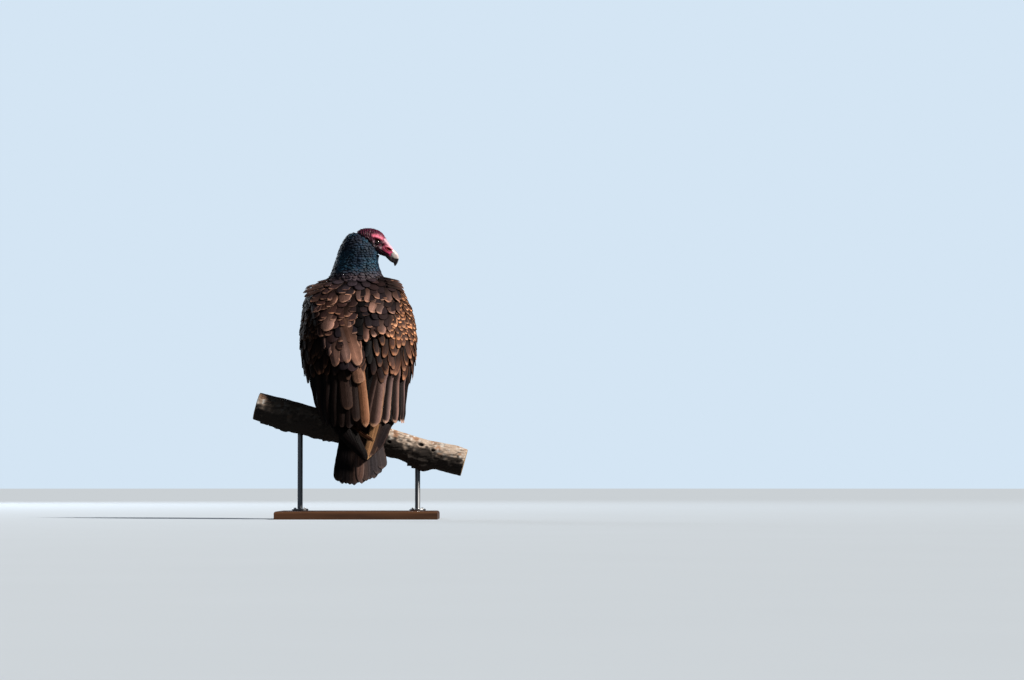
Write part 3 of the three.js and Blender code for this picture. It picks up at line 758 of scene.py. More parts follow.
def vaneMarks():  # what all feathers share: pale edges, barbs, a shaft, and painted shade over the root
    ins = [("Barbs", "Float", 40.0), ("Side From", "Float", 0.7), ("Tip From", "Float", 0.85),
           ("Root Shade", "Float", 0.5), ("Shaft", "Float", 0.3), ("Ripple", "Float", 0.3)]
    outs = [("Color", "Color"), ("Height", "Float"), ("Edge", "Float"), ("Wear", "Float")]
    board, given, results = newGroup("vaneMarks", ins, outs)
    tint, edge = board.shade("tint"), board.shade("edge")
    flat = board.node("ShaderNodeUVMap", uv_map="vane").outputs[0]
    parts = board.node("ShaderNodeSeparateXYZ", {"Vector": flat}).outputs
    off = board.math("ABSOLUTE", board.math("MULTIPLY_ADD", parts[0], 2.0, -1.0))
    place = board.place()
    wander = board.noise(place, 420.0, 3)
    ripple = board.math("MULTIPLY", board.math("SUBTRACT", wander, 0.5), given["Ripple"])
    sideEdge = board.step(board.math("ADD", off, ripple), given["Side From"], 1.0)
    tipEdge = board.step(board.math("MULTIPLY_ADD", ripple, 0.3, parts[1]), given["Tip From"], 0.98)
    sideEdge = board.math("MULTIPLY", sideEdge, board.step(parts[1], 0.3, 0.6))
    mask = board.math("MULTIPLY", board.math("MAXIMUM", sideEdge, tipEdge), edge.outputs["Alpha"])
    slant = board.math("MULTIPLY_ADD", off, -0.22, parts[1])
    slant = board.math("ADD", slant, board.math("MULTIPLY", wander, 0.03))
    barb = board.math("SINE", board.math("MULTIPLY", slant, board.math("MULTIPLY", given["Barbs"], 6.283)))
    patches = board.noise(place, 90.0, 4)
    value = board.math("MULTIPLY_ADD", patches, 0.7, 0.62)
    value = board.math("MULTIPLY", value, board.math("MULTIPLY_ADD", barb, 0.14, 1.0))
    # painted shade towards each feather's root, under the feathers that overlap it
    shadow = board.math("MULTIPLY_ADD", board.step(parts[1], 0.3, 0.88), given["Root Shade"],
                        board.math("SUBTRACT", 1.0, given["Root Shade"]))
    shaft = board.math("SUBTRACT", 1.0, board.step(off, 0.02, 0.09))
    value = board.math("MULTIPLY", board.math("MULTIPLY", value, shadow),
                       board.math("MULTIPLY_ADD", shaft, given["Shaft"], 1.0))
    colour = board.mix(mask, tint.outputs["Color"], edge.outputs["Color"])
    board.feed(results["Color"], board.dim(colour, value))
    board.feed(results["Height"], board.math("MULTIPLY_ADD", barb, 0.5, shaft))
    board.feed(results["Edge"], mask)
    board.feed(results["Wear"], patches)
    return board.tree


vaneTree = vaneMarks()
plumes = {
    "hoodPlume": {"barbs": 34, "side": 0.3, "tip": 0.6, "root": 0.42, "shaft": 0.1, "ripple": 0.3,
                  "rough": (0.5, 0.7), "bump": 0.14, "gloss": 0.2},
    "bodyPlume": {"barbs": 60, "side": 0.6, "tip": 0.8, "root": 0.75, "shaft": 0.2, "ripple": 0.3,
                  "rough": (0.5, 0.75), "bump": 0.16, "gloss": 0.08},
    "brownPlume": {"barbs": 80, "side": 0.56, "tip": 0.8, "root": 0.8, "shaft": 0.3, "ripple": 0.3,
                   "rough": (0.5, 0.7), "bump": 0.2, "gloss": 0.08},
    "capePlume": {"barbs": 80, "side": 0.72, "tip": 0.88, "root": 0.75, "shaft": 0.25, "ripple": 0.24,
                  "rough": (0.56, 0.74), "bump": 0.2, "gloss": 0.07},
    "flightPlume": {"barbs": 240, "side": 0.66, "tip": 0.93, "root": 0.25, "shaft": 0.5, "ripple": 0.1,
                    "rough": (0.4, 0.6), "bump": 0.34, "gloss": 0.06},
}


def plumeMaterial(name):
    look = plumes[name]
    material, board, shader = newMaterial(name, Specular_IOR_Level=look["gloss"])
    given = {"Barbs": look["barbs"], "Side From": look["side"], "Tip From": look["tip"],
             "Root Shade": look["root"], "Shaft": look["shaft"], "Ripple": look["ripple"]}
    marks = board.node("ShaderNodeGroup", given, node_tree=vaneTree).outputs
    board.feed(shader.inputs["Base Color"], marks["Color"])
    low, high = look["rough"]
    board.feed(shader.inputs["Roughness"], board.math("MULTIPLY_ADD", marks["Wear"], high - low, low))
    addBump(board, shader, marks["Height"], look["bump"], 0.0003)
    return material


finishes = {name: plumeMaterial(name) for name in plumes}

colours = {
    "hoodTop": paint(22, 40, 58), "hoodLow": paint(71, 60, 67), "hoodSheen": paint(50, 92, 116),
    "hoodGrey": paint(78, 68, 76), "mantle": paint(38, 30, 33), "mantleEdge": paint(74, 58, 56),
    "gap": paint(12, 10, 11), "cape": paint(58, 38, 34), "capeEdge": paint(204, 152, 126),
    "capePale": paint(156, 120, 108), "covert": paint(72, 48, 40), "covertEdge": paint(226, 160, 118),
    "greatCovert": paint(48, 36, 35), "greatEdge": paint(192, 134, 102), "quill": paint(110, 85, 79),
    "quillEdge": paint(206, 168, 150), "tertial": paint(140, 99, 76), "tertialEdge": paint(180, 134, 104),
    "primary": paint(40, 31, 31), "gold": paint(168, 122, 84), "goldEdge": paint(216, 170, 122),
    "crossing": paint(64, 38, 24), "tail": paint(58, 51, 53), "tailEdge": paint(92, 78, 74),
    "tailBrown": paint(112, 84, 74), "breast": paint(40, 32, 33), "breastEdge": paint(74, 58, 54),
    "thigh": paint(46, 36, 35),
}


def tract(coat, guide, owners, tint, edge, seed, fromV, toV, length, width, rowGap, spacing, shape, loose,
          uRange=(0, 1), keep=None, depth=0.0, reach=0.85):
    # one tract of small feathers; the four pairs are mm at the top and at the bottom of the tract
    u, v = rowsOf(guide, fromV, toV, rowGap, spacing, seed, uRange)
    dice = np.random.default_rng(seed + 1)
    share = np.clip((v - fromV) / (toV - fromV), 0, 1)
    length = between(length, share) * dice.uniform(0.88, 1.1, len(u))
    width = between(width, share) * dice.uniform(0.9, 1.1, len(u))
    tipU, tipV = march(guide, u, v, length, dice.normal(0, 0.12, len(u)))
    good = guide.covered(u + (tipU - u) * reach, v + (tipV - v) * reach, owners) > 0.5
    good &= tipV < 1.0
    if keep:
        good &= keep(guide.at(u, v), guide.at(tipU, tipV))
    u, v, tipU, tipV, length, width, share = (a[good] for a in (u, v, tipU, tipV, length, width, share))
    tiltSign = np.where(np.random.default_rng(seed + 2).uniform(size=len(u)) < 0.5, -1.0, 1.0)
    lift = np.abs(dice.normal(0, loose, len(u)))
    bow = dice.normal(0, 0.03, len(u)) * length
    made = vanes(guide, (u, v), (tipU, tipV), width, vaneShapes[shape], seed + 3, tiltSign, depth, lift, bow)
    places = guide.at(u + (tipU - u) * 0.75, v + (tipV - v) * 0.75)  # the middle of the part that shows
    coat.add(made, tint(share, places), edge(share, places), (u, v))


def line(first, last, count):
    share = np.linspace(0, 1, count)[:, None]
    return np.asarray(first, float) + (np.asarray(last, float) - np.asarray(first, float)) * share


def makeQuills(coat, guide, rows, shape, kind, seed, sign, bow=0.0, cells=None, lit=0.0, even=False):
    # rows hold the root's x and z, the tip's x and z, the width and the depth under the guide, in mm; kind is
    # tint, edge and the edge's strength; lit is painted light on one vane and painted shade on the other
    rows = np.asarray(rows, float)
    count = len(rows)
    placed = rows[[0, -1]] if even else rows
    roots, tips = (np.array([guide.find(x * mm, z * mm) for x, z in placed[:, k:k + 2]]).T for k in (0, 2))
    if even:  # spread evenly on the sheet between the first row and the last
        share = np.linspace(0, 1, count)[None, :]
        roots, tips = (ends[:, :1] * (1 - share) + ends[:, 1:] * share for ends in (roots, tips))
    tiltSign = np.broadcast_to(np.asarray(sign, float), (count,))
    made = vanes(guide, roots, tips, rows[:, 4], vaneShapes[shape], seed, tiltSign, rows[:, 5], bow=bow)
    tint, edge, strength = kind
    tint, edge = np.broadcast_to(tint, (count, 3)), np.broadcast_to(edge, (count, 3))
    tint = withStrength(dyed(tint, count, seed + 1, 0.1), 1)[:, None, :] + 0 * made[0][:, :, :1]
    lit = np.broadcast_to(np.asarray(lit, float), (count,))[:, None]
    # one vane lighter and the other darker: painted light and painted shade
    paler = 1 + lit * blend(made[1][:, :, 0], 0.52, 0.14) * 2 - lit
    tint[:, :, :3] *= np.clip(paler, 0.12, 2)[:, :, None]
    edge = withStrength(dyed(edge, count, seed + 2, 0.12), strength)
    coat.add(made, tint, edge, None, stripCells(count) if cells is None else cells)


say("finishes")

hoodLook = {"fromV": 0.0, "toV": 0.93, "length": (12, 25), "width": (9, 16), "rowGap": (4.2, 6.2),
            "spacing": (6.0, 9.0), "shape": "scale", "loose": 0.2, "reach": 0.5}
hoodFade = (568, 540)  # heights between which the hood's blue turns to grey, in mm
throat = {"low": 578, "rootLow": 583, "outer": 44, "side": 34, "front": 41}  # where it is bare, in mm


def makeHood():
    coat = Coat("plumage_hood")

    def lowShare(places):
        return np.clip(blend(places[:, 2] / mm, *hoodFade) + 0.3 * mottle(places, 0.02, 3), 0, 1)

    def tint(share, places):
        wave = 1 + 0.35 * mottle(places, 0.012, 4)[:, None]
        base = shareMix(colours["hoodTop"], colours["hoodLow"], lowShare(places)) * wave
        return withStrength(dyed(base, len(places), 21, 0.16), 1)

    def edge(share, places):
        low = lowShare(places)
        # teal feather edges in patches: painted iridescent sheen
        sheen = np.clip(0.34 + 1.5 * mottle(places, 0.017, 5), 0.0, 1) * (1 - 0.5 * low)
        base = shareMix(colours["hoodSheen"], colours["hoodGrey"], low)
        return withStrength(dyed(base, len(places), 22, 0.16), sheen)

    def clear(root, tip):  # leaves the throat bare under the jaw
        root, tip = root / mm, tip / mm
        under = (root[:, 2] > throat["low"]) & (tip[:, 0] > throat["side"]) & (tip[:, 1] > throat["front"])
        inner = np.maximum(root[:, 0], tip[:, 0]) < throat["outer"]
        return (inner | (root[:, 2] < throat["rootLow"])) & ~under

    tract(coat, guides["hood"], [0], tint, edge, 31, keep=clear, **hoodLook)
    coat.build(finishes["hoodPlume"])


bodyLook = {"fromV": 0.06, "toV": 0.99, "length": (28, 40), "width": (19, 23), "rowGap": (9.5, 11.5),
            "spacing": (11, 13), "shape": "breast", "loose": 0.4}
thighLook = {"fromV": 0.0, "toV": 0.95, "length": (26, 22), "width": (12, 9), "rowGap": (7, 6),
             "spacing": (8, 7), "shape": "soft", "loose": 0.8}


def makeBody():
    def tint(share, places):
        return withStrength(dyed(colours["breast"], len(places), 41, 0.2), 1)

    def thighTint(share, places):
        return withStrength(dyed(colours["thigh"], len(places), 43, 0.2), 1)

    def edge(share, places):
        return withStrength(dyed(colours["breastEdge"], len(places), 42, 0.2), 0.55)

    coat = Coat("plumage_body")
    tract(coat, guides["body"], [0, 1], tint, edge, 51, **bodyLook)
    coat.build(finishes["bodyPlume"])
    for node in ("thigh_left", "thigh_right"):
        coat = Coat("plumage_" + node)
        tract(coat, guides[node], [0], thighTint, edge, 61, **thighLook)
        coat.build(finishes["bodyPlume"])


makeHood()
makeBody()

capeLook = {"fromV": 0.0, "toV": 0.97, "length": (40, 76), "width": (25, 31), "rowGap": (15, 25),
            "spacing": (18, 19), "shape": "long", "loose": 0.3}
mantleLook = {"fromV": 0.05, "toV": 0.9, "length": (34, 44), "width": (24, 28), "rowGap": (11, 15),
              "spacing": (14, 18), "shape": "round", "loose": 0.3, "uRange": (0.2, 0.8)}
# Big loose feathers on top of the capes: root x and z, tip x and z, width, depth, how pale (partly a painted
# highlight), and how much paler one vane is than the other (painted light and painted shade).
bigFeathers = {
    "left": [
        (-68, 531, -103, 520, 17, -3.0, 0.3, 0.2), (-74, 527, -116, 515, 17, -4.0, 0.5, 0.2),
        (-78, 520, -120, 507, 17, -4.6, 0.7, 0.3), (-80, 512, -117, 497, 17, -4.6, 0.4, 0.3),
        (-70, 508, -106, 486, 24, -0.2, 0.2, 0.2), (-80, 496, -100, 460, 26, -0.4, 0.1, 0.3),
        (-52, 520, -66, 486, 28, 0.4, 0.3, 0.2), (-30, 522, -28, 481, 34, -1.0, 0.35, 0.1),
        (-54, 512, -55, 476, 26, -0.6, 0.2, 0.3), (-12, 502, -24, 447, 27, -0.4, 0.2, 0.6),
        (-70, 478, -82, 440, 26, 0.2, 0.1, 0.2), (-40, 476, -40, 440, 24, 0.6, 0.0, 0.4),
        (-60, 474, -66, 416, 37, -1.4, 0.9, 0.35), (-22, 474, -18, 424, 25, 0.0, 0.45, 0.3),
        (-40, 440, -36, 392, 26, 0.6, 0.3, 0.3), (-74, 430, -71, 376, 13, 0.4, 0.5, 0.4),
        (-60, 424, -60, 360, 15, 0.2, 0.5, -0.3), (-52, 428, -45, 337, 30, -0.6, 0.45, -0.25),
        (-38, 446, -18, 344, 28, -1.4, 0.6, -0.35), (-30, 452, 6, 338, 34, -2.4, 0.75, -0.3),
        (-14, 430, 8, 372, 20, 0.2, 0.3, 0.0)],
    "right": [
        (4, 528, 5, 484, 22, -0.2, 0.3, 0.0), (24, 526, 20, 482, 21, -0.4, 0.45, -0.4),
        (46, 526, 42, 490, 26, 0.4, 0.3, 0.2), (56, 541, 92, 532, 15, -2.8, 0.0, 0.2),
        (59, 535, 97, 525, 15, -3.1, 0.15, 0.2), (62, 528, 99, 518, 15, -3.4, 0.2, 0.3),
        (64, 521, 98, 510, 15, -3.6, 0.1, 0.3), (64, 526, 64, 484, 28, 0.0, 0.25, 0.4),
        (82, 522, 88, 486, 26, -0.4, 0.3, 0.4), (38, 512, 32, 457, 26, -1.0, 0.7, -0.4),
        (54, 508, 47, 456, 26, -0.4, 0.6, 0.5), (72, 500, 76, 456, 28, 0.2, 0.3, 0.4),
        (84, 500, 93, 458, 22, 0.4, 0.3, 0.4), (20, 462, 21, 392, 19, -0.2, 0.3, 0.5),
        (38, 466, 39, 403, 22, 0.0, 0.4, 0.5), (56, 466, 55, 409, 29, -0.8, 0.7, 0.5),
        (72, 462, 74, 414, 24, -0.2, 0.4, 0.5)],
}
midline = [(0, 500), (8, 440), (18, 392), (30, 350)]  # the parting between the two capes, darkened with painted shade, x and z in mm
yoke = [(-90, 545), (-60, 522), (-30, 516), (2, 500), (20, 524), (60, 548)]  # where the hood's grey ends
leftShadowLine = [(340, -62), (422, -79), (453, -91), (508, -124)]  # z and x; the left side beyond it gets painted shade


# darkens the left side beyond that line: painted shade on the left cape and wing
def leftShadowed(places, share=0.7):
    off = np.interp(places[:, 2] / mm, *np.array(leftShadowLine, float).T) - places[:, 0] / mm
    return 1 - share * blend(off + 4 * mottle(places, 0.012, 13), -5, 7)


def partingShade(places):  # 1 in the parting, where the feathers get painted shade, 0 away from it
    wide = np.interp(places[:, 2] / mm, (360, 400, 490), (17, 12, 7))
    return 1 - blend(fromLine(places[:, 0] / mm, places[:, 2] / mm, midline) / wide, 0.7, 1.3)


def onYoke(places):  # 1 on the hood's grey yoke over the shoulders
    level = np.interp(places[:, 0] / mm, *np.array(yoke, float).T)
    return blend(places[:, 2] / mm - level + 5 * mottle(places, 0.014, 8), -5, 6)


def makeCapes():
    yokeGrey = np.asarray(colours["hoodLow"]) * 0.6
    for index, side in enumerate(("left", "right")):
        coat = Coat("scapular_feathers_" + side)

        def tint(share, places):
            dark = np.clip(0.42 + 0.9 * mottle(places, 0.034, 7) + 0.3 * (1 - share), 0, 1)
            # the left cape is painted lighter and the right one darker: painted light and painted shade
            bright = 0.85 if side == "right" else 1.2
            base = shareMix(colours["cape"], colours["mantle"], dark) * bright
            base = shareMix(dyed(base, len(places), 71, 0.24), yokeGrey, onYoke(places))
            base = base * leftShadowed(places)[:, None]
            return withStrength(shareMix(base, colours["gap"], partingShade(places)), 1)

        def edge(share, places):
            strength = np.clip(0.3 + 0.9 * mottle(places, 0.026, 9), 0.0, 1)
            strength = strength * (1 - partingShade(places)) * (1 - onYoke(places)) * leftShadowed(places, 0.9)
            return withStrength(dyed(colours["capeEdge"], len(places), 72, 0.25) * 0.8, strength)

        tract(coat, guides["cape"], [index], tint, edge, 81 + index, **capeLook)
        rows = np.array(bigFeathers[side], float)
        # pale is partly a painted highlight, and lit is painted light and shade on the vanes
        pale, lit = rows[:, 6], rows[:, 7]
        paler = shareMix(colours["cape"], colours["capePale"], pale)
        kind = (paler, colours["capeEdge"], np.clip(0.6 + 0.3 * pale, 0, 1))
        makeQuills(coat, guides["cape"], rows[:, :6], "big", kind, 85 + index, 1 if index else -1, lit=lit)
        coat.build(finishes["capePlume"], ["scapulars_" + side])

    def mantleTint(share, places):
        base = dyed(shareMix(colours["mantle"], yokeGrey, onYoke(places)), len(places), 73, 0.14)
        return withStrength(shareMix(base, colours["gap"], partingShade(places)), 1)

    def mantleEdge(share, places):
        plain = (1 - partingShade(places)) * (1 - 0.8 * onYoke(places))
        return withStrength(dyed(colours["mantleEdge"], len(places), 74, 0.2), (0.4 + 0.3 * share) * plain)

    coat = Coat("plumage_mantle")
    tract(coat, guides["back"], [2, 3], mantleTint, mantleEdge, 91, **mantleLook)
    coat.build(finishes["bodyPlume"])


makeCapes()

smallCoverts = {"fromV": 0.0, "toV": 0.6, "length": (31, 42), "width": (12.5, 15), "rowGap": (10, 11.5),
                "spacing": (11, 9.8), "shape": "round", "loose": 0.4, "depth": -1.4}
greatCoverts = {"fromV": 0.2, "toV": 0.96, "length": (56, 86), "width": (18, 19.5), "rowGap": (21, 18),
                "spacing": (21, 12), "shape": "covert", "loose": 0.5, "depth": -2.2, "reach": 0.8}
covertLook = {"greatEnd": 303, "smallEnd": 388,  # heights of their lowest tips, in mm
              "leftPaintedShade": 0.4}  # the left wing is darkened with painted shade


def inward(places, outer, inner):  # 1 on the wing's inner half below the shoulder
    return blend(np.abs(places[:, 0]) / mm, outer, inner) * blend(places[:, 2] / mm, 450, 420)


def makeCoverts():
    for index, side in enumerate(("left", "right")):
        # the left wing's coverts and their pale edges are darkened: painted shade
        bright = 1 if side == "right" else covertLook["leftPaintedShade"]

        def tint(share, places):
            near = np.clip(inward(places, 72, 48) + 0.3 * mottle(places, 0.02, 12), 0, 1)
            base = shareMix(colours["covert"], colours["greatCovert"], near)
            base = shareMix(base, colours["gap"], partingShade(places))
            base = dyed(base, len(places), 101, 0.3, 0.07) * bright * leftShadowed(places, 0.3)[:, None]
            return withStrength(base, 1)

        def edge(share, places):
            base = shareMix(colours["covertEdge"], colours["greatEdge"], blend(places[:, 2] / mm, 400, 350))
            strength = 0.7 + 0.6 * mottle(places, 0.016, 11) - 0.3 * inward(places, 75, 45)
            strength = np.clip(strength, 0.1, 1) * bright**1.6 * (1 - partingShade(places)) * leftShadowed(places, 0.5)
            return withStrength(dyed(base, len(places), 102, 0.25), strength)

        def smallOnes(root, tip):
            lowest = covertLook["smallEnd"] + 60 * blend(np.abs(tip[:, 0]) / mm, 75, 45)
            return tip[:, 2] > lowest * mm

        def greatOnes(root, tip):
            lowest = covertLook["greatEnd"] * mm
            return (tip[:, 2] > lowest - 0.004) & (root[:, 2] > lowest + 0.03)

        coat = Coat("covert_feathers_" + side)
        tract(coat, guides["wing"], [index], tint, edge, 111 + index, keep=smallOnes, **smallCoverts)
        owners = [index, index + 2]
        tract(coat, guides["great"], owners, tint, edge, 121 + index, keep=greatOnes, **greatCoverts)
        coat.build(finishes["brownPlume"], ["wing_" + side])


makeCoverts()

secondaryLook = {"count": 6, "centre": 6.5, "inner": 20, "outer": 12, "lean": 26, "width": (25, 16),
                 "tipRise": 3, "under": 15, "underWidth": (30, 28), "leftPaintedShade": 0.08}
tertials = {  # as bigFeathers
    "right": [(2, 372, 22, 201, 21, -5.2, 0.0, 0.3), (58, 372, 39, 201, 28, -4.4, 1.0, 0.75),
              (-4, 360, 8, 298, 27, -6.2, 0.3, 0.2)],
    "left": [(-34, 372, -16, 240, 30, -4.4, -0.8, 0.2), (-8, 366, 2, 214, 24, -3.0, -0.85, 0.3)],
}


def makeSecondaries():
    guide = guides["quill"]
    look = secondaryLook
    for sign, side in ((-1, "left"), (1, "right")):
        low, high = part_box("secondaries_" + side)
        outer = (high.x if sign > 0 else low.x) / mm
        inner = look["centre"] + sign * look["inner"]
        top, bottom = high.z / mm, low.z / mm + 2
        # the left wing's secondaries are darkened: painted shade
        bright, seed = (1, 1) if side == "right" else (look["leftPaintedShade"], 0)

        def spreadOut(count, width, depth, pull, above, lean):
            tipX, tipZ = outer - sign * (look["outer"] + pull), bottom + pull
            first = (inner + sign * (6 + lean), top - 4 + above, inner, tipZ, width[0], depth)
            last = (outer, top - 10 + above, tipX, tipZ + look["tipRise"], width[1], depth + 0.4)
            return line(first, last, count)

        lean = look["lean"] if side == "right" else 0
        upper = spreadOut(look["count"], look["width"], -1.2, 0, 0, lean)
        under = spreadOut(look["under"], look["underWidth"], 1.4, 4, 20, 0)
        extra = np.array(tertials[side], float)
        pale, lit = extra[:, 6], extra[:, 7]
        cells = stripCells(len(upper) + len(under) + len(extra))
        upperCells, underCells, extraCells = np.split(cells, (len(upper), len(upper) + len(under)))
        coat = Coat("secondary_feathers_" + side)
        # the under layer is near black: painted shade showing between the blades above it
        kind = (colours["gap"], colours["primary"], 0.5)
        makeQuills(coat, guide, under, "quill", kind, 126 + seed, sign, 0.0, underCells, even=True)
        # each upper blade gets painted light on one vane and painted shade on the other
        kind = (np.multiply(colours["quill"], bright), colours["quillEdge"], 0.95 * bright**2)
        makeQuills(coat, guide, upper, "secondary", kind, 130 + seed, -sign, sign * 4.0, upperCells,
                   lit=0.86 * bright, even=True)
        # a negative pale darkens the feather: painted shade on the left tertials
        tint = shareMix(colours["tertial"], colours["quill"], np.abs(pale))
        tint = tint * (1 + np.minimum(pale, 0))[:, None]
        kind = (tint, colours["tertialEdge"], 0.8 * bright)
        makeQuills(coat, guide, extra[:, :6], "tertial", kind, 134 + seed, -sign, 0.0, extraCells, lit=lit)
        coat.build(finishes["flightPlume"], ["secondaries_" + side])


primaryLook = {
    "count": 6, "width": 22.0, "depth": 3.4, "leftPaintedShade": (0.2, 0.1),
    "left": ((-84, 262, 4, 152), (-30, 262, 24, 129)),  # the first and the last: root x and z, tip x and z
    "right": ((90, 268, 44, 152), (50, 262, 22, 130)),
    "crossing": [(-30, 218, 44, 172, 10, -1.2)],  # a feather of the left wing that lies across the right one
}


def makePrimaries():
    count = primaryLook["count"]
    for sign, side in ((-1, "left"), (1, "right")):
        guide = guides["primary_" + side]
        coat = Coat("primary_feathers_" + side)
        width, depth = np.full(count, primaryLook["width"]), np.linspace(primaryLook["depth"], 0, count)
        rows = np.hstack([line(*primaryLook[side], count), np.stack([width, depth], 1)])
        if side == "right":
            gold = blend(np.linspace(0, 1, count), 0.55, 0.9)
            tint = shareMix(colours["primary"], colours["gold"], gold)
            edge = shareMix(colours["quill"], colours["goldEdge"], gold)
        else:
            # the left primaries are darkened: painted shade
            tint, edge = (np.multiply(colours[name], bright) for name, bright in
                          zip(("primary", "quill"), primaryLook["leftPaintedShade"]))
        makeQuills(coat, guide, rows, "quill", (tint, edge, 0.7), 140 + (sign > 0), sign, -sign * 4.0)
        if side == "left":
            kind = (colours["crossing"], colours["goldEdge"], 0.35)
            makeQuills(coat, guide, primaryLook["crossing"], "quill", kind, 144, sign)
        coat.build(finishes["flightPlume"], ["primaries_" + side])


tailLook = {"count": 12, "width": 28, "rootSpread": 28, "inset": 9}


def makeTail():
    guide = guides["tail"]
    low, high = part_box("tail")
    share = np.linspace(-1, 1, tailLook["count"])
    middle, half = (low.x + high.x) / 2 / mm, (high.x - low.x) / 2 / mm
    firstX, lastX = guide.points[0, 0, 0], guide.points[-1, 0, 0]
    rows = []
    for t in share:  # each reaches down to the lowest place that the tail's solid has under its tip
        tipX = middle + t * (half - tailLook["inset"])
        column = round((tipX * mm - firstX) / (lastX - firstX) * (guide.known.shape[0] - 1))
        tipZ = guide.points[0, np.flatnonzero(guide.known[column]).max(), 2] / mm
        rootX = middle - 3 + t * tailLook["rootSpread"]
        rows.append((rootX, high.z / mm - 4, tipX, tipZ, tailLook["width"], 0.3 + 3.4 * abs(t)))
    # the tail darkens towards its left: painted shade
    bright = 0.16 + 0.6 * blend(share, -0.5, 0.0)
    brown = hill(share, -0.12, 0.3)
    tint = shareMix(colours["tail"], colours["tailBrown"], brown) * bright[:, None]
    coat = Coat("tail_feathers")
    kind = (tint, colours["tailEdge"], 0.5 * bright + 0.3 * brown)
    makeQuills(coat, guide, rows, "quill", kind, 150, np.where(share < 0, -1.0, 1.0))
    coat.build(finishes["flightPlume"], ["tail"])


makeSecondaries()
makePrimaries()
makeTail()


# The head's own directions: along from the nape to the bill, up, and out to the right; "down" is in degrees.
eyeLook = {"down": 33, "along": 44, "rise": 1.5, "ball": 7.0, "side": 11.8, "opening": 5.2, "cornea": 4.4,
           "iris": paint(44, 28, 22), "pupil": paint(6, 5, 5), "rim": paint(16, 10, 10)}
eyeLeft, eyeRight = middleOf("eye_left"), middleOf("eye_right")
headTurn = math.radians(eyeLook["down"])
headSide = (eyeRight - eyeLeft) / np.linalg.norm(eyeRight - eyeLeft)
headAlong = np.cross(upright, headSide) * math.cos(headTurn) - upright * math.sin(headTurn)
headUp = np.cross(headSide, headAlong)
headOrigin = (eyeLeft + eyeRight) / 2 - headAlong * eyeLook["along"] * mm - headUp * eyeLook["rise"] * mm


def headPlace(points):  # distance from the nape, height, and side, in mm
    off = (points - headOrigin) / mm
    return off @ headAlong, off @ headUp, off @ headSide


def eyeRing(a, b):  # distance from the eye's middle
    return np.hypot(a - eyeLook["along"], b - eyeLook["rise"])


nakedTrees = {name: treeOf([name])[0] for name in ("head", "neck")}


def bareShare(points):  # 1 on the bare head, 0 where plumage covers the neck
    share = np.zeros(len(points))
    high = points[:, 2] > 0.55
    for index in np.flatnonzero(high):
        place = Vector(points[index])
        share[index] = nakedTrees["neck"].find_nearest(place)[3] - nakedTrees["head"].find_nearest(place)[3]
    return blend(share / mm, -0.4, 1.4) * high


headLook = {  # lines and places on the head, along and up in mm
    "brow": [(35, 8), (45, 11), (57, 7)],
    "gape": [(54, -9.5), (70, -8.6), (88, -6.6)],
    "nostril": (74.5, 3.2, 5.4, 2.3),  # place, and half length and half height
    "ear": (21, -5, 3.4, 2.6),
    "pale": [(36.7, -1.5, 2.4), (52, 6.5, 2.6), (57, -5.5, 2.8), (38, -12, 3.0)],  # wrinkles round the eye
    "ridgeTint": [(56, 16.5), (65, 14), (77, 10), (88, 7)],
    "browTint": [(29, 9), (38, 13.5), (47, 14)],
    "browShadow": [(33.5, 6), (42, 8), (50, 10.5)],
    "shadow": [(31, -4), (38, -7), (48, -8), (57, 0), (58, 5)],
    "fold": 6.4,  # distance between the folds of the nape
    "jaw": 17.5,  # depth of the jaw's underside below the eye line
}


def foldWave(points, a, b):  # the folds of the nape and crown, 1 on the ridges and -1 in the grooves
    wander = 3.4 * mottle(points, 0.011, 31) + 1.4 * mottle(points, 0.004, 35)
    phase = (a + 0.8 * b + wander) / headLook["fold"]
    return 1 - np.abs(np.sin(np.pi * phase)) ** 0.8 * 2


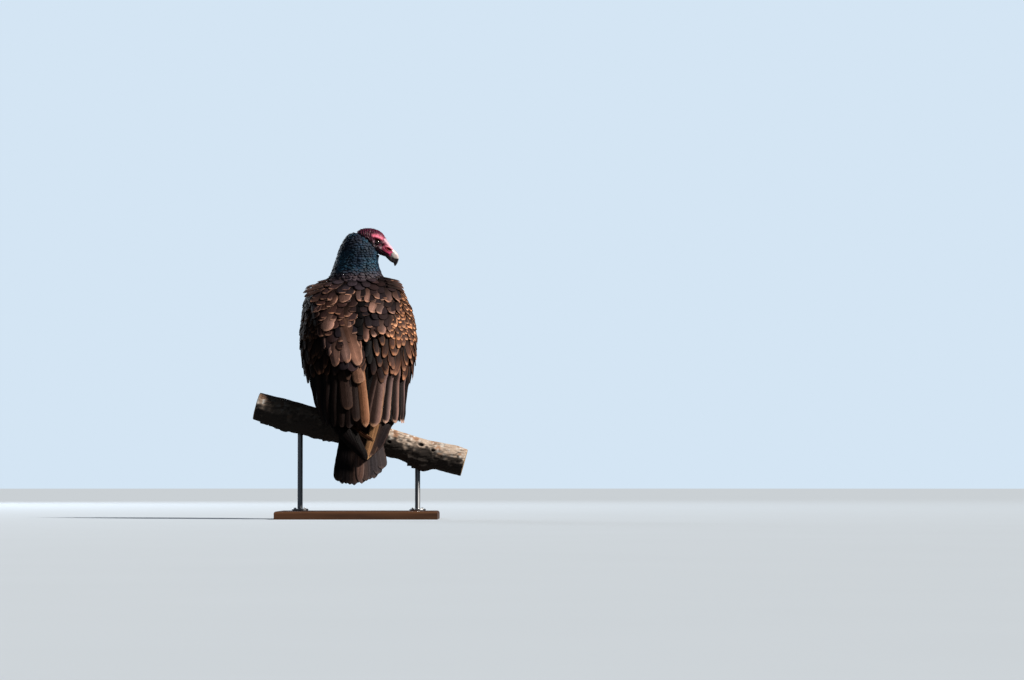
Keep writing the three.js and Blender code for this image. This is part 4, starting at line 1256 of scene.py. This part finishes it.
def headForm(points, normals):
    # sculpts the bare head; each line adds one form, its height in mm first and then where it is
    a, b, c = headPlace(points)
    flank = blend(np.abs(c), 3, 7)
    ring = eyeRing(a, b)
    folds = foldWave(points, a, b) * blend(ring, 9, 14) * blend(a, 46, 32)
    lift = 0.8 * folds * (0.45 + 0.55 * blend(np.abs(c), 2, 9))
    lift = lift * np.clip(0.55 + 0.75 * mottle(points, 0.011, 32), 0.1, 1.2)
    wrinkles = 1 - 2 * np.abs(mottle(points * np.array([1, 1, 0.6]), 0.0034, 36))
    lift += 0.34 * wrinkles * blend(a, 70, 50) * blend(ring, 8, 12)
    lift += 1.2 * hill(fromLine(a, b, headLook["brow"]), 0, 2.6) * flank
    lift += 0.8 * hill(ring, 7.0, 1.2) * flank  # two rings round the eye, with a groove between
    lift -= 0.7 * hill(ring, 9.0, 1.1) * flank
    lift += 0.35 * hill(ring, 11.0, 1.0) * flank
    lift -= 1.4 * hill(np.hypot(a - 58, (b - 1) * 1.3), 0, 5.5) * flank  # the hollow before the eye
    lift += 0.7 * hill(np.hypot(a - 38, b + 12), 0, 8) * flank  # the cheek
    gape = fromLine(a, b, headLook["gape"])
    lift += (0.45 * hill(gape, 2.0, 0.9) - 0.9 * hill(gape, 0, 0.9)) * flank
    at, up, half, high = headLook["nostril"]
    hole = np.hypot((a - at) / half, (b - up - 0.06 * (a - at)) / high)
    lift += (0.7 * hill(hole, 1.5, 0.35) - 3.4 * (1 - blend(hole, 0.55, 1.1))) * flank
    at, up, half, high = headLook["ear"]
    ear = np.hypot((a - at) / half, (b - up) / high)
    lift += (0.6 * hill(ear, 1.5, 0.4) - 2.4 * (1 - blend(ear, 0.4, 1.1))) * flank
    knobs = blend(mottle(points, 0.0024, 33), 0.25, 0.8) * blend(a, 40, 50) * blend(a, 70, 62)
    lift += 0.5 * knobs * blend(ring, 7.5, 9) * flank
    lift += 0.14 * mottle(points, 0.0016, 34) * blend(a, 95, 80)
    zone = blend(a, -14, -4) * bareShare(points) * (1 - 0.8 * blend(a, 80, 85))
    points = points + normals * (lift * zone * mm)[:, None]
    sag = np.maximum(-b - headLook["jaw"], 0) * (1 - blend(-b, 24, 36)) * blend(a, 49, 60)
    return points + headUp[None] * (0.7 * sag * mm)[:, None], ring, hole, ear


def meetBill(points):  # the skin's front end thins out onto the horn
    a, b, _ = headPlace(points)
    tree, _ = treeOf(["bill_upper", "bill_lower"])
    points = points.copy()
    for index in np.flatnonzero((a > 78) & (a < 95) & (b > -19)):
        near, normal = (np.array(found) for found in tree.find_nearest(Vector(points[index]))[:2])
        share = blend(a[index], 79, 86.5)
        if (points[index] - near) @ normal < 0:  # inside the bill
            points[index] -= headAlong * 0.0025 * share
        else:
            target = near + normal * (0.22 * mm) - headAlong * 0.0004
            points[index] = points[index] * (1 - share) + target * share
    return points


def eyeSocket(points):  # lids just over the ball, and in their opening the skin lies inside it
    a, b, c = headPlace(points)
    ring = eyeRing(a, b)
    ball = eyeLook["side"] + np.sqrt(np.maximum(eyeLook["ball"] ** 2 - ring**2, 0))
    deep = np.where(ring < eyeLook["opening"], ball - 1.6, ball + 0.35)
    share = (1 - blend(ring, 6.2, 8.2)) * (np.abs(c) > 8)
    target = np.abs(c) * (1 - share) + deep * share
    return points + headSide * ((target - np.abs(c)) * np.sign(c) * mm)[:, None]


def legShare(points):  # 1 on the bare feet and shanks
    share = np.zeros(len(points))
    for side in ("left", "right"):
        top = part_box("foot_" + side)[1].z
        foot, body = treeOf(["foot_" + side])[0], treeOf(["thigh_" + side, "trunk"])[0]
        for index in np.flatnonzero(points[:, 2] < top):
            place = Vector(points[index])
            bare = blend(body.find_nearest(place)[3] - foot.find_nearest(place)[3], -0.0004, 0.004)
            share[index] = max(share[index], bare * blend(points[index, 2], top, top - 0.01))
    return share


def keepLargest(piece):  # drops the small shells that a remesh can leave inside
    work = bmesh.new()
    work.from_mesh(piece.data)
    left, largest = set(work.verts), set()
    while left:
        stack = [left.pop()]
        shell = set(stack)
        while stack:
            vert = stack.pop()
            for edge in vert.link_edges:
                other = edge.other_vert(vert)
                if other in left:
                    left.discard(other)
                    shell.add(other)
                    stack.append(other)
        largest = max(largest, shell, key=len)
    bmesh.ops.delete(work, geom=[v for v in work.verts if v not in largest], context="VERTS")
    work.to_mesh(piece.data)
    work.free()


skinLook = {"grow": 0.45, "voxel": 1.7, "wingCut": 75, "drawnIn": 17,  # mm; the wings' flesh is cut low down
            "under": 3.8, "underLow": 2.0,  # depth under the plumage, and how much more below the neck
            "thin": 0.42}  # at most this share of a thin part's thickness


def fleshDepth(skin, cuts, naked):
    # flesh lies under the plumage by its depth, or less where the body is thin
    points, normals = pointsOf(skin), normalsOf(skin)
    tree = BVHTree.FromObject(skin, bpy.context.evaluated_depsgraph_get())
    thin = np.full(len(points), 1.0)
    for index in np.flatnonzero(naked < 0.99):
        inward = Vector(-normals[index])
        hit = tree.ray_cast(Vector(points[index]) + inward * 0.0005, inward, 0.03)
        if hit[0] is not None:
            thin[index] = hit[3]
    deep = (skinLook["under"] + skinLook["underLow"] * blend(points[:, 2], 0.54, 0.5)) * mm
    depth = np.minimum(deep * (1 - naked), thin * skinLook["thin"])
    wings, _ = treeOf(["wing_left", "wing_right"])
    for index in np.flatnonzero((points[:, 2] < max(cuts.values()) + 0.02) & (naked < 0.5)):
        near = wings.find_nearest(Vector(points[index]))[3]
        low = cuts["wing_right" if points[index, 0] > 0 else "wing_left"]
        atCut = (1 - blend(points[index, 2], low + 0.003, low + 0.015)) * (1 - blend(near, 0.008, 0.012))
        depth[index] *= 1 - atCut
    return depth


def makeSkin():
    flesh = ["head", "neck", "trunk", "thigh_left", "thigh_right", "foot_left", "foot_right", "wing_left",
             "wing_right"]
    cuts = {wing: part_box(wing)[0].z + skinLook["wingCut"] * mm for wing in ("wing_left", "wing_right")}
    skin = nodeCopy(flesh, "vulture_skin", skinLook["grow"] * mm, cuts, skinLook["drawnIn"] * mm)
    applyModifier(skin, "REMESH", mode="VOXEL", voxel_size=skinLook["voxel"] * mm)
    keepLargest(skin)
    applyModifier(skin, "SMOOTH", factor=0.5, iterations=5)
    points = pointsOf(skin)
    naked = np.maximum(bareShare(points), legShare(points))
    depth = fleshDepth(skin, cuts, naked)
    rounds = 4
    for _ in range(rounds):
        movePoints(skin, pointsOf(skin) - normalsOf(skin) * (depth / rounds)[:, None])
    group = skin.vertex_groups.new(name="covered")
    for index in np.flatnonzero(naked < 0.5):
        group.add([int(index)], 1.0, "REPLACE")
    applyModifier(skin, "DECIMATE", ratio=0.3, vertex_group="covered", use_collapse_triangulate=False)
    fine = bareShare(pointsOf(skin)) > 0.2  # the bare head is made finer
    work = bmesh.new()
    work.from_mesh(skin.data)
    work.verts.ensure_lookup_table()
    edges = [e for e in work.edges if fine[e.verts[0].index] and fine[e.verts[1].index]]
    bmesh.ops.subdivide_edges(work, edges=edges, cuts=1, use_grid_fill=True, smooth=0.6)
    bmesh.ops.triangulate(work, faces=[f for f in work.faces if len(f.verts) > 4])
    work.to_mesh(skin.data)
    work.free()
    points, ring, hole, ear = headForm(pointsOf(skin), normalsOf(skin))
    movePoints(skin, meetBill(eyeSocket(points)))
    addShade(skin, "skinTint", skinColours(pointsOf(skin), ring, hole, ear))
    smoothIn(skin, skinMaterial())
    finishPiece(skin, flesh)
    say(f"skin: {len(skin.data.polygons)} faces")


skinPaint = {
    "crown": paint(76, 14, 42), "nape": paint(86, 22, 50), "cheek": paint(104, 34, 58),
    "brow": paint(246, 122, 150), "cere": paint(206, 62, 100), "nostril": paint(110, 8, 24),
    "lore": paint(116, 36, 60), "lid": paint(186, 164, 172), "leg": paint(176, 140, 128),
    "covered": paint(52, 42, 42), "dark": paint(24, 10, 18), "hooded": paint(18, 26, 34),
    "fold": paint(138, 52, 88), "ridge": paint(255, 204, 220), "bulge": paint(240, 96, 150),
}


def skinColours(points, ring, hole, ear):
    a, b, c = headPlace(points)
    flank = blend(np.abs(c), 3, 7)
    coarse, fine = mottle(points, 0.008, 41), mottle(points, 0.0025, 42)
    shade = np.tile(np.asarray(skinPaint["cheek"]), (len(points), 1))

    def lay(colour, share):  # a coat of paint, of a strength and place given by share
        nonlocal shade
        shade = shareMix(shade, skinPaint[colour], np.clip(share, 0, 1))

    back = blend(a + 3 * coarse + 0.5 * b, 42, 28)
    lay("nape", back * (0.9 + 0.2 * fine))
    crown = blend(b - 0.22 * a + 3 * coarse, -1, 8) * blend(a + 4 * coarse, 44, 32)
    lay("crown", crown * (0.95 + 0.3 * fine))
    folds = foldWave(points, a, b)  # pale on the folds, and dark between them as painted shade in the grooves
    lay("fold", blend(folds, 0.0, 0.9) * back * 0.85)
    lay("dark", blend(folds, 0.0, -0.7) * back * 0.85)
    lay("lore", blend(a, 48, 56) * 0.8)
    lay("cere", blend(a, 62, 76) * (0.75 + 0.3 * coarse) * blend(b, -9, -2))
    lay("dark", blend(b + 0.08 * (a - 60), -3.5, -9) * (0.82 + 0.2 * fine))  # painted shade on the throat and the lower cheek, under the head
    lay("ridge", hill(fromLine(a, b, headLook["ridgeTint"]), 0, 3.2) * 0.85)
    lay("brow", hill(fromLine(a, b, headLook["browTint"]), 0, 3.6) * (1.15 + 0.3 * coarse) * flank)
    # dark red under the brow: painted shadow
    lay("nostril", hill(fromLine(a, b, headLook["browShadow"]), 0, 2.1) * flank * 0.95)
    lay("dark", hill(fromLine(a, b, headLook["shadow"]), 0, 2.2) * flank * 0.95)
    lay("bulge", hill(np.hypot(a - 81, b + 0.5), 0, 4.6) * flank * 0.9)
    lay("dark", hill(a + 0.25 * b, 87.0, 1.3) * 0.75)
    # the nostril's hollow is dark red: red skin, and painted shade in the hole
    lay("nostril", (1 - blend(hole, 1.1, 2.0)) * flank)
    lay("brow", hill(hole, 2.3, 0.35) * flank * 0.5)  # the nostril's pale rim
    lay("dark", hill(ring, 5.6, 1.0) * flank * 0.85)  # the eye's dark lids, and pale wrinkles round them
    pale = np.max([hill(np.hypot(a - at, b - up), 0, wide) for at, up, wide in headLook["pale"]], 0)
    lay("lid", pale * (0.75 + 0.5 * fine) * flank)
    spots = blend(fine, 0.05, 0.5) * hill(ring, 9.5, 3.0) * blend(b, 3, -1) * flank
    lay("lid", spots * 0.5)
    # dark in the ear's opening: painted shade in the hollow
    lay("dark", (1 - blend(ear, 0.7, 1.2)) * flank)
    lay("dark", hill(fromLine(a, b, headLook["gape"]), 0, 0.8) * flank * 0.8)
    hidden = 1 - blend(bareShare(points), 0.3, 0.8)  # under the plumage
    lay("covered", hidden)
    lay("hooded", hidden * blend(points[:, 2], 0.53, 0.55))
    leg = legShare(points)
    lay("leg", leg)
    return np.hstack([shade, leg[:, None]])


def skinMaterial():
    material, board, shader = newMaterial("vultureSkin", Roughness=0.5, Specular_IOR_Level=0.26,
                                          Subsurface_Weight=0.12, Subsurface_Scale=0.004)
    place = board.place()
    painted = board.shade("skinTint")  # its alpha is 1 on the legs
    blotch = board.noise(place, 260.0, 5)
    squat = board.stretched(place, (1, 1, 1.5))
    scutes = board.node("ShaderNodeTexVoronoi", {"Vector": squat, "Scale": 330.0},
                        feature="DISTANCE_TO_EDGE").outputs["Distance"]
    seams = board.math("SUBTRACT", 1.0, board.step(scutes, 0.02, 0.16))
    seams = board.math("MULTIPLY", seams, painted.outputs["Alpha"])
    pores = board.node("ShaderNodeTexVoronoi", {"Vector": place, "Scale": 900.0}).outputs["Distance"]
    value = board.math("MULTIPLY_ADD", blotch, 0.7, 0.65)
    value = board.math("MULTIPLY", value, board.math("MULTIPLY_ADD", seams, -0.5, 1.0))
    board.feed(shader.inputs["Base Color"], board.dim(painted.outputs["Color"], value))
    board.feed(shader.inputs["Roughness"], board.math("MULTIPLY_ADD", blotch, 0.35, 0.28))
    height = board.math("MULTIPLY_ADD", seams, -1.6, board.math("MULTIPLY_ADD", blotch, 0.8, pores))
    addBump(board, shader, height, 0.35, 0.0004)
    return material


bristleLook = {"count": 420, "long": (2.5, 6.0), "thick": 0.16, "colour": paint(20, 15, 16)}


def makeBristles():  # sparse hair-like feathers of the crown, nape and lores
    dice = np.random.default_rng(201)
    skin = bpy.data.objects["vulture_skin"]
    points, normals = pointsOf(skin), normalsOf(skin)
    a, b, c = headPlace(points)
    lores = 0.12 * blend(eyeRing(a, b), 9, 12) * blend(a, 72, 62)
    chances = bareShare(points) * (blend(a, 44, 20) * blend(b, -16, 6) + lores) * (a > -8)
    count = bristleLook["count"]
    picked = dice.choice(len(points), count, replace=False, p=chances / chances.sum())
    base, out = points[picked], normals[picked]
    lean = -headAlong[None] * 1.0 - upright[None] * 0.4 + dice.normal(0, 0.35, (count, 3))
    lean -= out * (lean * out).sum(1)[:, None]
    lean /= np.linalg.norm(lean, axis=1)[:, None]
    across = np.cross(lean, out)
    length = dice.uniform(*bristleLook["long"], count)[:, None] * mm
    stations = np.array([0.0, 0.4, 0.75, 1.0])
    rings = []
    for share in stations:
        centre = base - out * 0.0003 + out * length * (0.55 * share - 0.25 * share**2)
        centre = centre + lean * length * (0.55 * share + 0.35 * share**2)
        radius = bristleLook["thick"] * mm * (1 - 0.85 * share)
        for turn in range(3):
            angle = 2 * math.pi * turn / 3
            rings.append(centre + (across * math.cos(angle) + out * math.sin(angle)) * radius)
    spikes = np.stack(rings, 1)
    quads = []
    for level in range(len(stations) - 1):
        for turn in range(3):
            low, high = level * 3 + turn, level * 3 + (turn + 1) % 3
            quads.append([low, low + 3, high + 3, high])
    starts = np.arange(count)[:, None, None] * spikes.shape[1]
    quads = (np.array(quads)[None] + starts).reshape(-1, 4)
    ends = (np.array([[0, 1, 2], [9, 11, 10]])[None] + starts).reshape(-1, 3)
    triangles = np.concatenate([quads[:, [0, 1, 2]], quads[:, [0, 2, 3]], ends])
    material, board, shader = newMaterial("bristle", Roughness=0.6)
    pale = tuple(2 * k for k in bristleLook["colour"])
    fleck = board.noise(board.place(), 300.0)
    board.feed(shader.inputs["Base Color"], board.mix(fleck, bristleLook["colour"], pale))
    piece = newPiece("head_bristles", spikes.reshape(-1, 3), triangles, material)
    piece.data.flip_normals()
    turned = np.arctan2(c[picked], b[picked]) / (2 * math.pi) + 0.5
    spots = np.stack([turned, np.clip((a[picked] + 10) / 100, 0, 1)], 1) * 0.99
    local = np.stack([np.tile([0.0, 0.5, 1.0], len(stations)), np.repeat(stations, 3)], 1) * 0.003
    addMap(piece, "OFBake", (spots[:, None, :] + local[None]).reshape(-1, 2)[triangles.ravel()])
    finishPiece(piece)


makeSkin()
makeBristles()


billLook = {"voxel": 0.7, "light": paint(236, 226, 222), "shade": paint(196, 180, 172),
            "billShade": paint(28, 18, 20)}
clawLook = {"voxel": 0.7, "light": paint(44, 40, 40), "shade": paint(84, 76, 70)}


def hornMaterial(name, look, size):
    material, board, shader = newMaterial(name, Roughness=0.35, Subsurface_Weight=0.15,
                                          Subsurface_Scale=0.003)
    grain = board.noise(board.place(), size, 5, 0.6)
    streak = board.noise(board.stretched(board.place(), (0.3, 1, 1)), size * 3, 3)
    colour = board.mix(board.step(grain, 0.35, 0.75), look["light"], look["shade"])
    if "billShade" in look:  # painted shade, where the piece's own colour says so
        colour = board.mix(board.shade("billShade").outputs["Alpha"], colour, look["billShade"])
    board.feed(shader.inputs["Base Color"], colour)
    board.feed(shader.inputs["Roughness"], board.math("MULTIPLY_ADD", streak, 0.25, 0.22))
    addBump(board, shader, board.math("ADD", grain, streak), 0.2, 0.0002)
    return material


def roundedCopy(node, voxel, rounds):
    piece = nodeCopy([node], node + "_horn")
    applyModifier(piece, "REMESH", mode="VOXEL", voxel_size=voxel * mm)
    applyModifier(piece, "SMOOTH", factor=0.5, iterations=rounds)
    return piece


def makeBill():
    horn = hornMaterial("ivoryHorn", billLook, 120.0)
    for name in ("bill_upper", "bill_lower"):
        piece = roundedCopy(name, billLook["voxel"], 6)
        points, normals = pointsOf(piece), normalsOf(piece)
        a, b, c = headPlace(points)
        facing, ahead = normals @ headUp, normals @ headAlong
        lift = 0.1 * mottle(points, 0.002, 51) + 0.1
        if name == "bill_upper":  # a keel on top, and cutting edges drawn down to the lower half
            lift = lift + 0.35 * hill(c, 0, 2.2) * blend(facing, 0.2, 0.8)
            down = 4.2 * blend(a, 80, 90) * blend(a, 104, 100) * blend(-facing, -0.1, 0.7)
            back = 2.4 * blend(-ahead, 0.1, 0.9) * blend(b, -5, -11) * blend(b, -21, -17)
            points = points - headUp[None] * (down * mm)[:, None] - headAlong[None] * (back * mm)[:, None]
        else:  # a thinner half, drawn forward
            under = 5.0 * blend(-facing, -0.2, 0.6) * blend(a, 76, 92) * blend(a, 102, 96)
            upper = 1.8 * blend(facing, -0.2, 0.5) * blend(a, 80, 90)
            points = points + headAlong[None] * (6.0 * blend(a, 78, 96) * mm)[:, None]
            points = points + headUp[None] * ((upper - under) * mm)[:, None]
        movePoints(piece, points + normals * (lift * mm)[:, None])
        a, b, c = headPlace(pointsOf(piece))
        # the upper bill's lower edge and the whole lower bill are darkened: painted shade
        billShade = blend(b - 0.55 * (a - 88), -9.6, -12.8) if name == "bill_upper" else 1.0
        billShade = np.clip(billShade + 0.12 * mottle(points, 0.003, 52), 0, 1)
        addShade(piece, "billShade", np.stack([billShade] * 4, 1))
        smoothIn(piece, horn)
        finishPiece(piece, [name])


def eyeMaterial():
    material, board, shader = newMaterial("wetEye", Roughness=0.12, Coat_Weight=1.0, Coat_Roughness=0.03)
    fleck = board.math("MULTIPLY_ADD", board.noise(board.place(), 900.0, 4), 1.0, 0.5)
    board.feed(shader.inputs["Base Color"], board.dim(board.shade("iris").outputs["Color"], fleck))
    return material


def makeEyes():
    material = eyeMaterial()
    radius = eyeLook["ball"] * mm
    for centre, side, name in ((eyeLeft, -1, "eye_left"), (eyeRight, 1, "eye_right")):
        bpy.ops.object.select_all(action="DESELECT")
        bpy.ops.mesh.primitive_uv_sphere_add(segments=48, ring_count=32, radius=radius)
        ball = bpy.context.object
        ball.name = name + "_ball"
        points = pointsOf(ball)
        outward = headSide * side
        ahead = points @ outward
        fromAxis = np.linalg.norm(points - np.outer(ahead, outward), axis=1) / mm
        front = ahead > 0
        cornea = 0.45 * np.clip(1 - (fromAxis / eyeLook["cornea"]) ** 2, 0, 1) * front
        points = points * (1 + cornea * mm / np.linalg.norm(points, axis=1))[:, None]
        shade = np.tile(np.asarray(eyeLook["iris"]), (len(points), 1))
        shade = shareMix(shade, eyeLook["pupil"], (1 - blend(fromAxis, 1.7, 2.1)) * front)
        shade = shareMix(shade, eyeLook["rim"], blend(fromAxis, 3.6, 4.6))
        movePoints(ball, points + centre)
        addShade(ball, "iris", shade)
        smoothIn(ball, material)
        finishPiece(ball, [name])


def makeClaws():
    horn = hornMaterial("darkHorn", clawLook, 200.0)
    for name in sorted(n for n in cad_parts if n.startswith("claw_")):
        piece = roundedCopy(name, clawLook["voxel"], 4)
        smoothIn(piece, horn)
        finishPiece(piece, [name])


makeBill()
makeEyes()
makeClaws()
say("bill, eyes and claws")


perchLook = {
    "voxel": 2.1, "crack": 1.3,
    "lumps": [(138, 24, 7.0), (-60, 40, 2.0)],  # along the branch, half width and depth, all in mm
    "snags": [(-217, 22, 3.2), (-172, 26, 4.5), (-78, 20, 3.4), (112, 9, 6.0), (122, 7, 4.0)],
    "holes": [(141, 5, 4.0), (168, -2, 3.0), (70, -4, 3.0)],  # along, above the middle, and half width
    "pale": paint(196, 176, 158), "tan": paint(168, 128, 100), "white": paint(226, 220, 212),
    "dark": paint(44, 36, 30), "cut": paint(190, 160, 120),
    "ringLight": paint(196, 166, 124), "ringDark": paint(140, 104, 68),
}


def barkMaterial(points, ends):
    material, board, shader = newMaterial("weatheredBark", Roughness=0.9)
    place = board.place()
    rings = []
    for end in ends:  # growth rings on the two cut ends
        middle = points[np.abs(points[:, 0] - end) < 0.004].mean(0)
        moved = board.node("ShaderNodeVectorMath", {0: place, 1: (0, *-middle[1:])}, operation="ADD")
        sockets = {"Vector": moved.outputs[0], "Scale": 90.0, "Distortion": 3.0, "Detail Scale": 0.6}
        wave = board.node("ShaderNodeTexWave", sockets, wave_type="RINGS", rings_direction="X")
        rings.append(wave.outputs[0])
    along = board.node("ShaderNodeSeparateXYZ", {"Vector": place}).outputs[0]
    wood = board.mix(board.step(along, -0.01, 0.01), *rings)
    wood = board.mix(wood, perchLook["ringLight"], perchLook["ringDark"])
    painted = board.shade("barkTint")  # its alpha is 0 on the cut ends
    tint = board.mix(painted.outputs["Alpha"], wood, painted.outputs["Color"])
    grain = board.noise(board.stretched(place, (0.25, 1, 1)), 420.0, 6, 0.65)
    speck = board.math("MULTIPLY_ADD", board.noise(place, 900.0, 3), 0.4, 0.8)
    value = board.math("MULTIPLY", board.math("MULTIPLY_ADD", grain, 1.1, 0.35), speck)
    board.feed(shader.inputs["Base Color"], board.dim(tint, value))
    addBump(board, shader, grain, 0.6, 0.0012)
    return material


def makePerch():
    piece = nodeCopy(["perch"], "perch_branch")
    applyModifier(piece, "REMESH", mode="VOXEL", voxel_size=perchLook["voxel"] * mm)
    applyModifier(piece, "SMOOTH", factor=0.5, iterations=3)
    points, normals = pointsOf(piece), normalsOf(piece)
    low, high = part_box("perch")
    x, z = points[:, 0] / mm, points[:, 2] / mm
    toEnd = np.minimum(points[:, 0] - low.x, high.x - points[:, 0])
    bark = 1 - blend(np.abs(normals[:, 0]), 0.6, 0.85) * (toEnd < 0.03)
    grained = points * np.array([0.22, 1, 1])  # cracks run along the branch
    crack = np.abs(mottle(grained, 0.0065, 61) + 0.5 * mottle(grained, 0.003, 62))
    lift = -perchLook["crack"] * (1 - blend(crack, 0.0, 0.16))
    lift = lift + 0.7 * mottle(points, 0.014, 63) + 0.35 * mottle(points, 0.0045, 64)
    under = blend(-normals[:, 2], 0.3, 0.8)
    lift = lift + 1.6 * under * mottle(points * np.array([0.5, 1, 1]), 0.007, 65)
    for at, wide, deep in perchLook["lumps"]:
        lift = lift + deep * hill(x, at, wide) * under
    torn = blend(mottle(points, 0.009, 68), -0.5, 0.2)
    for at, wide, deep in perchLook["snags"]:  # torn bark, with a steep side and a long one
        off = (x - at) / wide
        lift = lift + deep * under * np.clip(1 - off, 0, 1) * blend(off, -0.12, 0.0) * torn
    endZ = (z[points[:, 0] < low.x + 0.01].mean(), z[points[:, 0] > high.x - 0.01].mean())
    above = z - np.interp(points[:, 0], (low.x, high.x), endZ)
    hole = np.full(len(points), 9.0)  # 1 on the rim of a knot hole; they are on the side behind the bird
    for at, up, wide in perchLook["holes"]:
        hole = np.minimum(hole, np.hypot((x - at) / 1.5, above - up) / wide + 9 * (normals[:, 1] > 0))
    lift = lift - 5.0 * (1 - blend(hole, 0.5, 1.1)) + 1.2 * hill(hole, 1.6, 0.5)
    points = points + normals * (lift * bark * mm)[:, None]
    movePoints(piece, points)
    patchy = 0.4 * mottle(points, 0.022, 66) + 0.35 * mottle(points, 0.007, 67)
    # painted shadow of the bird on the branch, between about x -210 and -40 mm
    outOfBirdShadow = np.maximum(blend(x + 20 * patchy, -40, 60), blend(x + 10 * patchy, -203, -212))
    # pale on top, dark underneath and in the knot holes: painted light and painted shade
    top = blend(normals[:, 2] + patchy, -0.1, 0.4) * (0.12 + 0.88 * outOfBirdShadow) * blend(hole, 0.9, 1.3)
    shade = shareMix(perchLook["pale"], perchLook["tan"], blend(mottle(points, 0.012, 69), 0.0, 0.6))
    shade = shareMix(shade, perchLook["white"], blend(mottle(points, 0.006, 70), 0.2, 0.7))
    shade = shareMix(perchLook["dark"], shade, top)
    shade = shareMix(shade, perchLook["dark"], 0.75 * (1 - blend(crack, 0.0, 0.2)))
    shade = shareMix(shade, perchLook["cut"], 1 - bark)
    addShade(piece, "barkTint", np.hstack([shade, bark[:, None]]))
    smoothIn(piece, barkMaterial(points, (low.x, high.x)))
    finishPiece(piece, ["perch"])


makePerch()
say("perch")


def woodMaterial():
    material, board, shader = newMaterial("stainedWood", Roughness=0.4, Coat_Weight=0.25, Coat_Roughness=0.2)
    sockets = {"Vector": board.stretched(board.place(), (1.4, 14, 14)), "Scale": 3.0, "Distortion": 5.0,
               "Detail": 3.0, "Detail Scale": 1.2}
    rings = board.node("ShaderNodeTexWave", sockets, wave_type="BANDS", bands_direction="Y").outputs[0]
    grain = board.noise(board.stretched(board.place(), (12, 260, 260)), 1.0, 5)
    tone = board.math("MULTIPLY_ADD", grain, 0.6, board.math("MULTIPLY", rings, 0.5))
    board.feed(shader.inputs["Base Color"], board.mix(tone, paint(48, 30, 20), paint(104, 68, 42)))
    board.feed(shader.inputs["Roughness"], board.math("MULTIPLY_ADD", grain, 0.2, 0.3))
    addBump(board, shader, grain, 0.15, 0.0003)
    return material


def steelMaterial():
    material, board, shader = newMaterial("brushedSteel", Metallic=1.0, Roughness=0.3)
    brush = board.noise(board.stretched(board.place(), (400, 400, 6)), 1.0, 4)
    board.feed(shader.inputs["Base Color"], board.mix(brush, paint(150, 152, 154), paint(196, 198, 200)))
    board.feed(shader.inputs["Roughness"], board.math("MULTIPLY_ADD", brush, 0.2, 0.22))
    return material


standLook = {"corner": 0.026, "edge": 0.006, "smooth": 35, "postEdge": 0.0006, "flange": 0.019,
             "flangeHigh": 0.005, "rod": 0.006, "screw": 0.0032, "screwHigh": 0.45}


def selectEdges(piece, wanted):  # in edit mode, only the edges that wanted is true for, from their two ends
    bpy.ops.mesh.select_all(action="DESELECT")
    work = bmesh.from_edit_mesh(piece.data)
    for edge in work.edges:
        edge.select = wanted(*(vert.co for vert in edge.verts))
    work.select_flush_mode()
    bmesh.update_edit_mesh(piece.data)


def makeBase(wood):
    low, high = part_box("stand_base")
    bpy.ops.object.select_all(action="DESELECT")
    bpy.ops.mesh.primitive_cube_add(size=1, location=(low + high) / 2, scale=high - low)
    base = bpy.context.object
    base.name = "stand_plinth"
    bpy.ops.object.transform_apply(location=True, rotation=True, scale=True)
    bpy.ops.object.mode_set(mode="EDIT")
    selectEdges(base, lambda one, two: abs(one.z - two.z) > 0.01)
    bpy.ops.mesh.bevel(offset=standLook["corner"], segments=10, profile=0.5, affect="EDGES")
    selectEdges(base, lambda one, two: abs(one.z - two.z) < 1e-5 and abs(one.z - high.z) < 1e-4)
    bpy.ops.mesh.bevel(offset=standLook["edge"], segments=4, profile=0.55, affect="EDGES")
    bpy.ops.object.mode_set(mode="OBJECT")
    bpy.ops.object.shade_smooth_by_angle(angle=math.radians(standLook["smooth"]))
    base.data.materials.append(wood)
    finishPiece(base, ["stand_base"])


def makePost(side, steel):  # a rod on its round foot, with three screws
    node = "stand_rod_" + side
    low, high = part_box(node)
    piece = nodeCopy([node], "stand_post_" + side)
    applyModifier(piece, "BEVEL", width=standLook["postEdge"], segments=2, limit_method="ANGLE",
                  angle_limit=math.radians(40))
    selectOnly(piece)
    bpy.ops.object.shade_smooth_by_angle(angle=math.radians(standLook["smooth"]))
    piece.data.materials.append(steel)
    finishPiece(piece, [node])
    reach = (standLook["flange"] + standLook["rod"]) / 2
    for turn in range(3):
        angle = math.radians(90 + 120 * turn)
        at = (low + high) / 2 + Vector((math.cos(angle), math.sin(angle), 0)) * reach
        at.z = low.z + standLook["flangeHigh"] + standLook["postEdge"]
        bpy.ops.object.select_all(action="DESELECT")
        bpy.ops.mesh.primitive_uv_sphere_add(segments=20, ring_count=10, radius=standLook["screw"],
                                             location=at)
        screw = bpy.context.object
        screw.name = f"stand_screw_{side}_{turn + 1}"
        bpy.ops.object.transform_apply(location=True)
        points = pointsOf(screw)
        points[:, 2] = at.z + (points[:, 2] - at.z) * standLook["screwHigh"]
        movePoints(screw, points)
        smoothIn(screw, steel)
        finishPiece(screw)


wood, steel = woodMaterial(), steelMaterial()
makeBase(wood)
makePost("left", steel)
makePost("right", steel)
say("stand")
